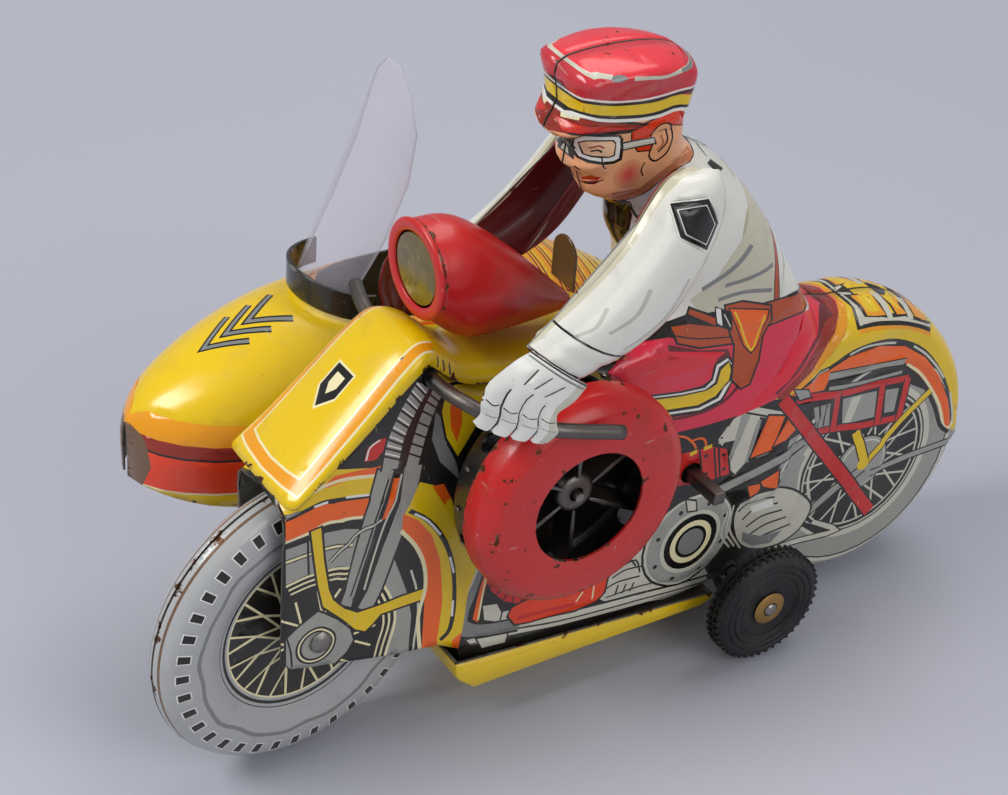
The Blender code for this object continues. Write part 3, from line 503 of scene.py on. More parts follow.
def plate(name, loop, low, high, finish, axis="x", soft=0.12):
    """A flat plate cut to a loop, between two heights along an axis, with softened edges."""
    spots, faces = [], []
    order = {"x": lambda a, b, h: (h, a, b), "y": lambda a, b, h: (a, h, b), "z": lambda a, b, h: (a, b, h)}
    place = order[axis]
    count = len(loop)
    for height in (low, high):
        spots += [place(a, b, height) for a, b in loop]
    faces.append(list(range(count)))
    faces.append(list(range(count, 2 * count)))
    for index in range(count):
        after = (index + 1) % count
        faces.append([index, after, count + after, count + index])
    made = add_piece(name, spots, faces, finish)
    tidy_normals(made)
    if soft:
        round_edges(made, soft)
    return smooth_after(made, 30.0)


def mapped(name, columns, rows, place, finish, wrap=False, inks=None):
    """A grid of unit parameters with each corner moved to place(u, v)."""
    spots = [place(i / columns, j / rows) for j in range(rows + 1) for i in range(columns + 1)]
    faces, colours = [], []
    for j in range(rows):
        for i in range(columns):
            first = j * (columns + 1) + i
            faces.append([first, first + 1, first + columns + 2, first + columns + 1])
            if inks:
                colours.append(inks((i + 0.5) / columns, (j + 0.5) / rows))
    made = add_piece(name, spots, faces, finish, colours or None)
    if wrap:
        tidy_normals(made)
        smooth(made)
    return made


def join(name, pieces):
    """One piece from several, with their materials kept."""
    shape = bmesh.new()
    finishes = []
    for piece in pieces:
        piece = settle(piece)
        for entry in piece.data.materials:
            if entry not in finishes:
                finishes.append(entry)
        order = [finishes.index(entry) for entry in piece.data.materials]
        for face in piece.data.polygons:
            face.material_index = order[face.material_index] if order else 0
        shape.from_mesh(piece.data)
    for piece in pieces:
        bpy.data.objects.remove(piece)
    data = bpy.data.meshes.new(name)
    shape.to_mesh(data)
    shape.free()
    for entry in finishes:
        data.materials.append(entry)
    made = linked(name, data)
    return made


def hand_over(made, body, slot, *nodes):
    """Gives a finished piece its body and hides the nodes it stands for; its slot is not used."""
    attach(made, body)
    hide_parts(*nodes)
    return made


# ---- shader building
class Reading:
    """A number that changes over a surface; arithmetic on it adds the Math nodes."""

    def __init__(self, finish, socket):
        self.finish = finish
        self.socket = socket

    def work(self, operation, first, second):
        made = self.finish.add("ShaderNodeMath", {"operation": operation}, {0: first, 1: second})
        return made.read(0)

    def __add__(self, other):
        return self.work("ADD", self, other)

    def __radd__(self, other):
        return self.work("ADD", other, self)

    def __sub__(self, other):
        return self.work("SUBTRACT", self, other)

    def __rsub__(self, other):
        return self.work("SUBTRACT", other, self)

    def __mul__(self, other):
        return self.work("MULTIPLY", self, other)

    def __rmul__(self, other):
        return self.work("MULTIPLY", other, self)

    def most(self, other):
        return self.work("MAXIMUM", self, other)


class Made:
    """A node that was just added, read by output name or place."""

    def __init__(self, finish, node):
        self.finish = finish
        self.node = node

    def read(self, output=0):
        return Reading(self.finish, self.node.outputs[output])


class Finish:
    """One material: its nodes are added by type, settings and socket values."""

    def __init__(self, name, **constants):
        self.material = bpy.data.materials.new(name)
        self.material.use_nodes = True
        self.tree = self.material.node_tree
        self.tree.nodes.clear()
        self.shader = self.tree.nodes.new("ShaderNodeBsdfPrincipled")
        output = self.tree.nodes.new("ShaderNodeOutputMaterial")
        self.tree.links.new(self.shader.outputs[0], output.inputs[0])
        for name_, value in constants.items():
            self.shader.inputs[name_.replace("_", " ")].default_value = value
        place = self.tree.nodes.new("ShaderNodeTexCoord")
        self.place = Reading(self, place.outputs["Object"])

    def add(self, kind, settings, values):
        node = self.tree.nodes.new(kind)
        for key, value in settings.items():
            setattr(node, key, value)
        for key, value in values.items():
            self.feed(node.inputs[key], value)
        return Made(self, node)

    def feed(self, socket, value):
        if isinstance(value, Reading):
            self.tree.links.new(value.socket, socket)
        elif socket.type == "RGBA" and len(value) == 3:
            socket.default_value = (*value, 1.0)
        else:
            socket.default_value = value

    def stretched(self, scale, turn=(0.0, 0.0, 0.0)):
        made = self.add("ShaderNodeMapping", {}, {"Vector": self.place, "Scale": scale, "Rotation": turn})
        return made.read(0)

    def noise(self, scale, detail=3.0, roughness=0.55, where=None, bend=0.0):
        made = self.add("ShaderNodeTexNoise", {}, {
            "Vector": where or self.place, "Scale": scale, "Detail": detail,
            "Roughness": roughness, "Distortion": bend})
        return made.read("Fac")

    def step(self, reading, low, high, bottom=0.0, top=1.0):
        made = self.add("ShaderNodeMapRange", {"interpolation_type": "SMOOTHSTEP"}, {
            "Value": reading, "From Min": low, "From Max": high, "To Min": bottom, "To Max": top})
        return made.read(0)

    def attribute(self, name, output="Fac"):
        return self.add("ShaderNodeAttribute", {"attribute_name": name}, {}).read(output)

    def mix(self, share, first, second, way="MIX"):
        made = self.add("ShaderNodeMix", {"data_type": "RGBA", "blend_type": way},
                        {0: share, 6: first, 7: second})
        return made.read(2)

    def bump(self, height, strength, distance):
        made = self.add("ShaderNodeBump", {}, {
            "Height": height, "Strength": strength, "Distance": distance})
        return made.read(0)

    def show(self, colour, roughness, normal=None, metal=None):
        self.feed(self.shader.inputs["Base Color"], colour)
        self.feed(self.shader.inputs["Roughness"], roughness)
        if normal is not None:
            self.feed(self.shader.inputs["Normal"], normal)
        if metal is not None:
            self.feed(self.shader.inputs["Metallic"], metal)
        return self.material


BARE = lacquer(128, 118, 104)
RUST = lacquer(92, 52, 28)
GRIME = lacquer(84, 66, 40)


def enamel(name, colour=None, chips=0.5, rough=0.24, coat=0.35, grime=0.3, scratches=0.5):
    """Glossy stoved lacquer on tin: faded, scratched, grimy, and chipped to metal on its rims."""
    f = Finish(name, Coat_Weight=coat, Coat_Roughness=0.08, IOR=1.5)
    ground = f.attribute("print", "Color") if colour is None else colour
    fading = f.step(f.noise(38.0, 3.0), 0.25, 0.75)
    ground = f.mix(fading * 0.07, ground, f.mix(0.5, ground, lacquer(214, 200, 160)))
    dirt = f.step(f.noise(120.0, 6.0, 0.62), 0.52, 0.78)
    ground = f.mix(dirt * grime, ground, GRIME)
    specks = f.step(f.noise(900.0, 2.0), 0.70, 0.76)
    ground = f.mix(specks * grime * 1.4, ground, RUST)
    worn = f.attribute("worn")
    rough_edge = f.noise(520.0, 4.0, 0.6)
    spots = f.noise(260.0, 5.0, 0.65)
    bare = f.step(spots + worn * 0.24 + rough_edge * 0.10, 0.83 - 0.05 * chips, 0.86 - 0.05 * chips)
    first = f.noise(1.0, 2.0, 0.5, f.stretched((60.0, 1300.0, 240.0), (0.5, 0.2, 0.3)))
    second = f.noise(1.0, 2.0, 0.5, f.stretched((1200.0, 70.0, 900.0), (0.2, -0.4, 0.7)))
    lines = f.step(first.most(second), 0.735, 0.765) * scratches
    rusty = f.step(rough_edge, 0.42, 0.60)
    metal_colour = f.mix(rusty, BARE, RUST)
    ground = f.mix(lines * 0.45, ground, lacquer(190, 184, 166))
    ground = f.mix(bare, ground, metal_colour)
    waviness = f.noise(70.0, 2.0)
    skin = f.noise(1500.0, 2.0)
    height = waviness * 0.9 + skin * 0.05 - bare * 0.35 - lines * 0.2
    normal = f.bump(height, 0.28, 0.0009)
    roughness = f.noise(60.0, 3.0) * 0.14 + dirt * 0.22 + bare * 0.25 + lines * 0.2 + (rough - 0.06)
    return f.show(ground, roughness, normal, bare * 0.75)


def bare_metal(name, colour, rough=0.32, tarnish=0.5, stain=RUST):
    """Dull plated or raw metal with fine drawing lines, tarnish and small pits."""
    f = Finish(name, Metallic=1.0)
    clouds = f.step(f.noise(130.0, 5.0, 0.6), 0.40, 0.72)
    pits = f.step(f.noise(900.0, 3.0), 0.66, 0.74)
    ground = f.mix(clouds * tarnish, colour, f.mix(0.6, colour, stain))
    ground = f.mix(pits * 0.6, ground, stain)
    brushed = f.noise(1.0, 2.0, 0.5, f.stretched((300.0, 2600.0, 2600.0)))
    height = brushed * 0.4 - pits * 0.6 + f.noise(400.0, 3.0) * 0.3
    roughness = clouds * 0.2 + brushed * 0.12 + pits * 0.25 + (rough - 0.06)
    return f.show(ground, roughness, f.bump(height, 0.3, 0.0004))


def tyre_rubber(name, colour):
    """Old matt rubber, greyed and dusty in patches."""
    f = Finish(name, Specular_IOR_Level=0.4)
    dust = f.step(f.noise(140.0, 5.0, 0.6), 0.42, 0.75)
    fine = f.noise(1400.0, 3.0)
    ground = f.mix(dust * 0.35, colour, lacquer(82, 80, 76))
    ground = f.mix(f.step(fine, 0.62, 0.72) * 0.4, ground, lacquer(110, 106, 98))
    roughness = dust * 0.22 + fine * 0.12 + 0.46
    return f.show(ground, roughness, f.bump(fine * 0.5 + f.noise(300.0) * 0.5, 0.35, 0.0003))


def clear_sheet(name, tint, alpha, rough=0.08):
    """Thin aged celluloid with a faint tint, streaks and cloudy rims."""
    f = Finish(name, IOR=1.48, Coat_Weight=0.3, Coat_Roughness=0.05)
    cloud = f.step(f.noise(45.0, 4.0, 0.6), 0.35, 0.75)
    streak = f.noise(1.0, 2.0, 0.5, f.stretched((700.0, 90.0, 60.0)))
    ground = f.mix(cloud * 0.4, tint, lacquer(222, 220, 226))
    rim = f.attribute("worn")
    cover = cloud * 0.05 + f.step(streak, 0.62, 0.75) * 0.06 + rim * 0.34 + alpha
    f.feed(f.shader.inputs["Alpha"], cover)
    roughness = cloud * 0.12 + rough
    return f.show(ground, roughness, f.bump(f.noise(60.0, 2.0), 0.15, 0.0005))


def lamp_glass(name, colour):
    """Printed amber lens with dark clouds and dust."""
    f = Finish(name, Coat_Weight=0.6, Coat_Roughness=0.06)
    cloud = f.step(f.noise(160.0, 4.0, 0.6), 0.3, 0.7)
    ground = f.mix(cloud * 0.55, colour, lacquer(58, 44, 10))
    ground = f.mix(f.step(f.noise(900.0), 0.64, 0.72) * 0.5, ground, lacquer(196, 160, 60))
    return f.show(ground, cloud * 0.2 + 0.18, f.bump(f.noise(220.0, 3.0), 0.25, 0.0006))


FINISHES = {}


def make_finishes(look):
    """Every finish of the toy, made once."""
    if FINISHES:
        return FINISHES
    yellow = tuple(look.yellow)
    red = tuple(look.red)
    FINISHES.update({
        "litho": enamel("printed_tin", None, look.wear, 0.22, 0.16, 0.16, 0.6),
        "yellow": enamel("yellow_enamel", yellow, look.wear, 0.24, 0.16, 0.2, 0.7),
        "red": enamel("red_enamel", red, look.wear * 1.6, 0.30, 0.14, 0.35, 1.1),
        "black": enamel("black_enamel", lacquer(18, 18, 20), look.wear, 0.26, 0.35, 0.25, 0.8),
        "plum": enamel("plum_inner_enamel", lacquer(122, 16, 30), look.wear, 0.34, 0.2, 0.4, 0.8),
        "inner": enamel("bare_inner_tin", lacquer(96, 92, 84), 0.8, 0.42, 0.05, 0.9, 0.6),
        "brown": enamel("brown_enamel", lacquer(104, 78, 44), look.wear, 0.3, 0.3, 0.5, 0.7),
        "steel": bare_metal("bright_steel", lacquer(150, 148, 144), 0.32, 0.45),
        "dark_steel": bare_metal("dark_steel", lacquer(112, 108, 104), 0.40, 0.7),
        "brass": bare_metal("brass", lacquer(176, 140, 82), 0.34, 0.5, lacquer(84, 60, 30)),
        "blued": bare_metal("blued_spring_steel", lacquer(58, 62, 78), 0.30, 0.4, lacquer(60, 44, 38)),
        "rubber": tyre_rubber("black_rubber", lacquer(24, 24, 26)),
        "clear": clear_sheet("clear_celluloid", lacquer(206, 200, 214), 0.20),
        "amber": lamp_glass("amber_celluloid", lacquer(112, 94, 14)),
    })
    return FINISHES


# ---- repeated details by geometry nodes
def ring_tree(name, finish, shape):
    """Node tree: copies of a small part round the X axis, each turned to face outwards."""
    tree = bpy.data.node_groups.new(name, "GeometryNodeTree")
    face = tree.interface
    face.new_socket("Geometry", in_out="INPUT", socket_type="NodeSocketGeometry")
    face.new_socket("Count", in_out="INPUT", socket_type="NodeSocketInt")
    for label in ("Ring Radius", "Length", "Width", "Height", "Lean"):
        face.new_socket(label, in_out="INPUT", socket_type="NodeSocketFloat")
    face.new_socket("Geometry", in_out="OUTPUT", socket_type="NodeSocketGeometry")

    def add(kind, values, output=0):
        node = tree.nodes.new(kind)
        for key, value in values.items():
            if isinstance(value, bpy.types.NodeSocket):
                tree.links.new(value, node.inputs[key])
            else:
                node.inputs[key].default_value = value
        return node.outputs[output] if node.outputs else node

    entry = tree.nodes.new("NodeGroupInput").outputs
    circle = add("GeometryNodeMeshCircle", {"Vertices": entry["Count"], "Radius": entry["Ring Radius"]})
    upright = add("GeometryNodeTransform", {"Geometry": circle, "Rotation": (0.0, math.pi / 2, 0.0)})
    size = add("ShaderNodeCombineXYZ", {"X": entry["Length"], "Y": entry["Width"], "Z": entry["Height"]})
    if shape == "block":
        solid = add("GeometryNodeMeshCube", {"Size": size})
    else:
        ball = add("GeometryNodeMeshUVSphere", {"Segments": 10, "Rings": 6, "Radius": 1.0})
        solid = add("GeometryNodeTransform", {"Geometry": ball, "Scale": size})
    turn = add("ShaderNodeCombineXYZ", {"Z": entry["Lean"]})
    lean = add("GeometryNodeTransform", {"Geometry": solid, "Rotation": turn})
    aim = tree.nodes.new("FunctionNodeAlignEulerToVector")
    aim.axis = "Z"
    aim.pivot_axis = "X"
    tree.links.new(add("GeometryNodeInputPosition", {}), aim.inputs["Vector"])
    copies = add("GeometryNodeInstanceOnPoints",
                 {"Points": upright, "Instance": lean, "Rotation": aim.outputs["Rotation"]})
    real = add("GeometryNodeRealizeInstances", {"Geometry": copies})
    coat = add("GeometryNodeSetMaterial", {"Geometry": real, "Material": finish})
    add("NodeGroupOutput", {"Geometry": coat})
    return tree


def ring_of(name, finish, shape, count, radius, size, centre, lean=0.0, turn=None):
    """A ring of like details round an axis along X: one plain mesh, in place."""
    data = bpy.data.meshes.new(name)
    made = linked(name, data)
    tree = ring_tree(name + "_tree", finish, shape)
    maker = made.modifiers.new("ring", "NODES")
    maker.node_group = tree
    keys = {item.name: item.identifier for item in tree.interface.items_tree if item.in_out == "INPUT"}
    values = {"Count": count, "Ring Radius": radius * MM, "Length": size[0] * MM,
              "Width": size[1] * MM, "Height": size[2] * MM, "Lean": lean}
    for label, value in values.items():
        maker[keys[label]] = value
    settle(made)
    matrix = (turn or Matrix.Identity(3)).to_4x4()
    matrix.translation = (Vector(centre) + SHIFT) * MM
    made.data.transform(matrix)
    return smooth_after(made, 30.0)


# ---- the two pressed halves
CHEEK_EDGE = [(-72.5, 69.3), (-72.5, 31.5)]
CHEEK_LOW = [(-72.5, 31.5), (-70.8, 28.9), (-67.0, 28.0), (-56.0, 25.8), (-46.0, 23.8), (-36.0, 22.2),
             (-31.2, 19.6)]
MOTOR_OPENING = [(-31.2, 19.6), (-30.6, 16.6), (-20.0, 15.6), (0.0, 14.6), (16.0, 13.6), (31.0, 13.4),
                 (35.4, 13.8), (37.8, 8.6), (50.0, 8.6), (56.6, 6.2)]
REAR_TYRE = arc((73.4, 34.2), 32.7, -121.0, -9.0, 24)
REAR_GUARD = through([(107.2, 29.0), (105.0, 44.0), (98.6, 56.8), (88.2, 67.2), (76.5, 72.6),
                      (65.0, 74.2), (57.6, 76.2)], 4)
RIDER_BACK = through([(57.6, 76.2), (53.2, 82.8), (47.4, 93.0), (40.8, 103.6), (34.2, 112.6),
                      (27.2, 120.0), (18.6, 125.6), (17.4, 132.0)], 4)
CAP = through([(17.4, 132.0), (18.6, 138.6), (17.8, 144.0), (10.6, 147.2), (-1.6, 148.4),
               (-11.0, 147.0), (-10.4, 139.4), (-13.0, 133.8), (-8.6, 131.4)], 3)
FACE = [(-8.6, 131.4), (-7.4, 129.0), (-7.8, 124.8), (-4.4, 122.2), (-2.6, 117.4), (1.0, 115.6),
        (5.4, 112.4)]
CHEST = through([(5.4, 112.4), (6.4, 105.6), (10.0, 98.6), (11.0, 90.6), (8.0, 85.5), (0.0, 84.2)], 3)
TANK = through([(0.0, 84.2), (-12.0, 84.4), (-25.0, 85.4), (-33.0, 88.2), (-40.0, 94.6), (-45.0, 94.9),
                (-50.0, 91.0), (-60.0, 81.0), (-72.5, 69.3)], 3)
CLOSED_EDGE = (REAR_TYRE[:-1] + REAR_GUARD[:-1] + RIDER_BACK[:-1] + CAP[:-1] + FACE[:-1]
               + CHEST[:-1] + TANK)
BODY_OUTLINE = CHEEK_EDGE[:-1] + CHEEK_LOW[:-1] + MOTOR_OPENING[:-1] + CLOSED_EDGE[:-1]

# (y, z, half width, edge radius): how far each region of the sheet is pressed out
PRESSINGS = (
    (-64.0, 45.0, 9.3, 3.2), (-50.0, 62.0, 9.6, 3.2), (-62.0, 74.0, 9.8, 3.2),
    (-42.0, 32.0, 10.4, 3.4), (-40.0, 86.0, 10.0, 4.0), (-12.0, 30.0, 12.0, 4.0),
    (-15.0, 60.0, 12.0, 4.0), (20.0, 30.0, 12.0, 4.0), (15.0, 50.0, 12.0, 4.0),
    (73.0, 33.0, 10.0, 4.0), (95.0, 35.0, 9.4, 4.0), (88.0, 58.0, 9.6, 4.0),
    (66.0, 10.0, 9.8, 4.0), (45.0, 20.0, 11.0, 4.0), (44.0, 64.0, 14.0, 7.0),
    (8.0, 74.0, 12.4, 5.0), (-2.0, 80.0, 11.8, 4.0), (62.0, 70.0, 11.5, 6.0), (26.0, 88.0, 13.2, 8.0),
    (27.0, 104.0, 15.0, 10.0), (20.0, 118.0, 14.0, 9.0), (12.0, 121.0, 7.6, 7.0),
    (4.0, 127.0, 7.4, 6.5), (4.0, 138.0, 7.6, 5.0), (4.0, 146.5, 10.6, 2.4),
)
SEAM = 0.3

# embossed lines: height, half width, then points along the side
EMBOSSED = (
    (-0.7, 1.0, ((-6.0, 73.2), (8.0, 71.0), (22.0, 68.0), (38.0, 70.5), (50.0, 76.0))),
    (0.5, 1.6, ((-2.0, 80.5), (8.0, 82.0), (20.0, 79.5), (26.0, 76.0))),
    (-0.6, 0.9, ((56.0, 75.0), (58.0, 66.0), (52.0, 56.0), (40.0, 50.0), (28.0, 48.0))),
    (0.6, 1.2, ((55.0, 47.0), (62.0, 56.0), (72.0, 61.0), (84.0, 58.0), (95.0, 49.0), (100.0, 36.0))),
    (-0.7, 0.8, ((-12.0, 134.6), (-2.0, 131.5), (8.0, 130.6), (18.0, 132.6))),
    (0.5, 1.2, ((-11.0, 138.0), (0.0, 135.0), (10.0, 134.2), (18.0, 136.0))),
    (-0.5, 0.8, ((6.5, 112.5), (10.0, 115.0), (17.0, 119.5), (22.0, 124.0))),
    (0.5, 1.0, ((-62.0, 68.0), (-58.0, 56.0), (-60.0, 42.0), (-64.0, 33.0))),
    (0.5, 1.0, ((-50.0, 70.0), (-54.0, 54.0), (-59.0, 40.0), (-62.0, 33.0))),
    (0.5, 1.1, ((-72.0, 62.5), (-62.0, 66.0), (-50.0, 64.0), (-40.0, 56.0), (-34.0, 42.0), (-36.0, 26.0))),
    (-0.5, 0.9, ((-31.0, 44.0), (-29.0, 30.0), (-27.0, 21.0), (-10.0, 20.0), (10.0, 19.0), (30.0, 18.0))),
    (0.6, 1.6, ((24.0, 86.5), (31.0, 84.0), (40.0, 84.0), (50.0, 86.0))),
)
DISCS = ((1.0, 26.2, 28.7, 11.2), (0.7, 75.0, 31.8, 7.0), (0.6, -64.4, 33.6, 6.0), (1.4, 45.0, 40.0, 7.5))
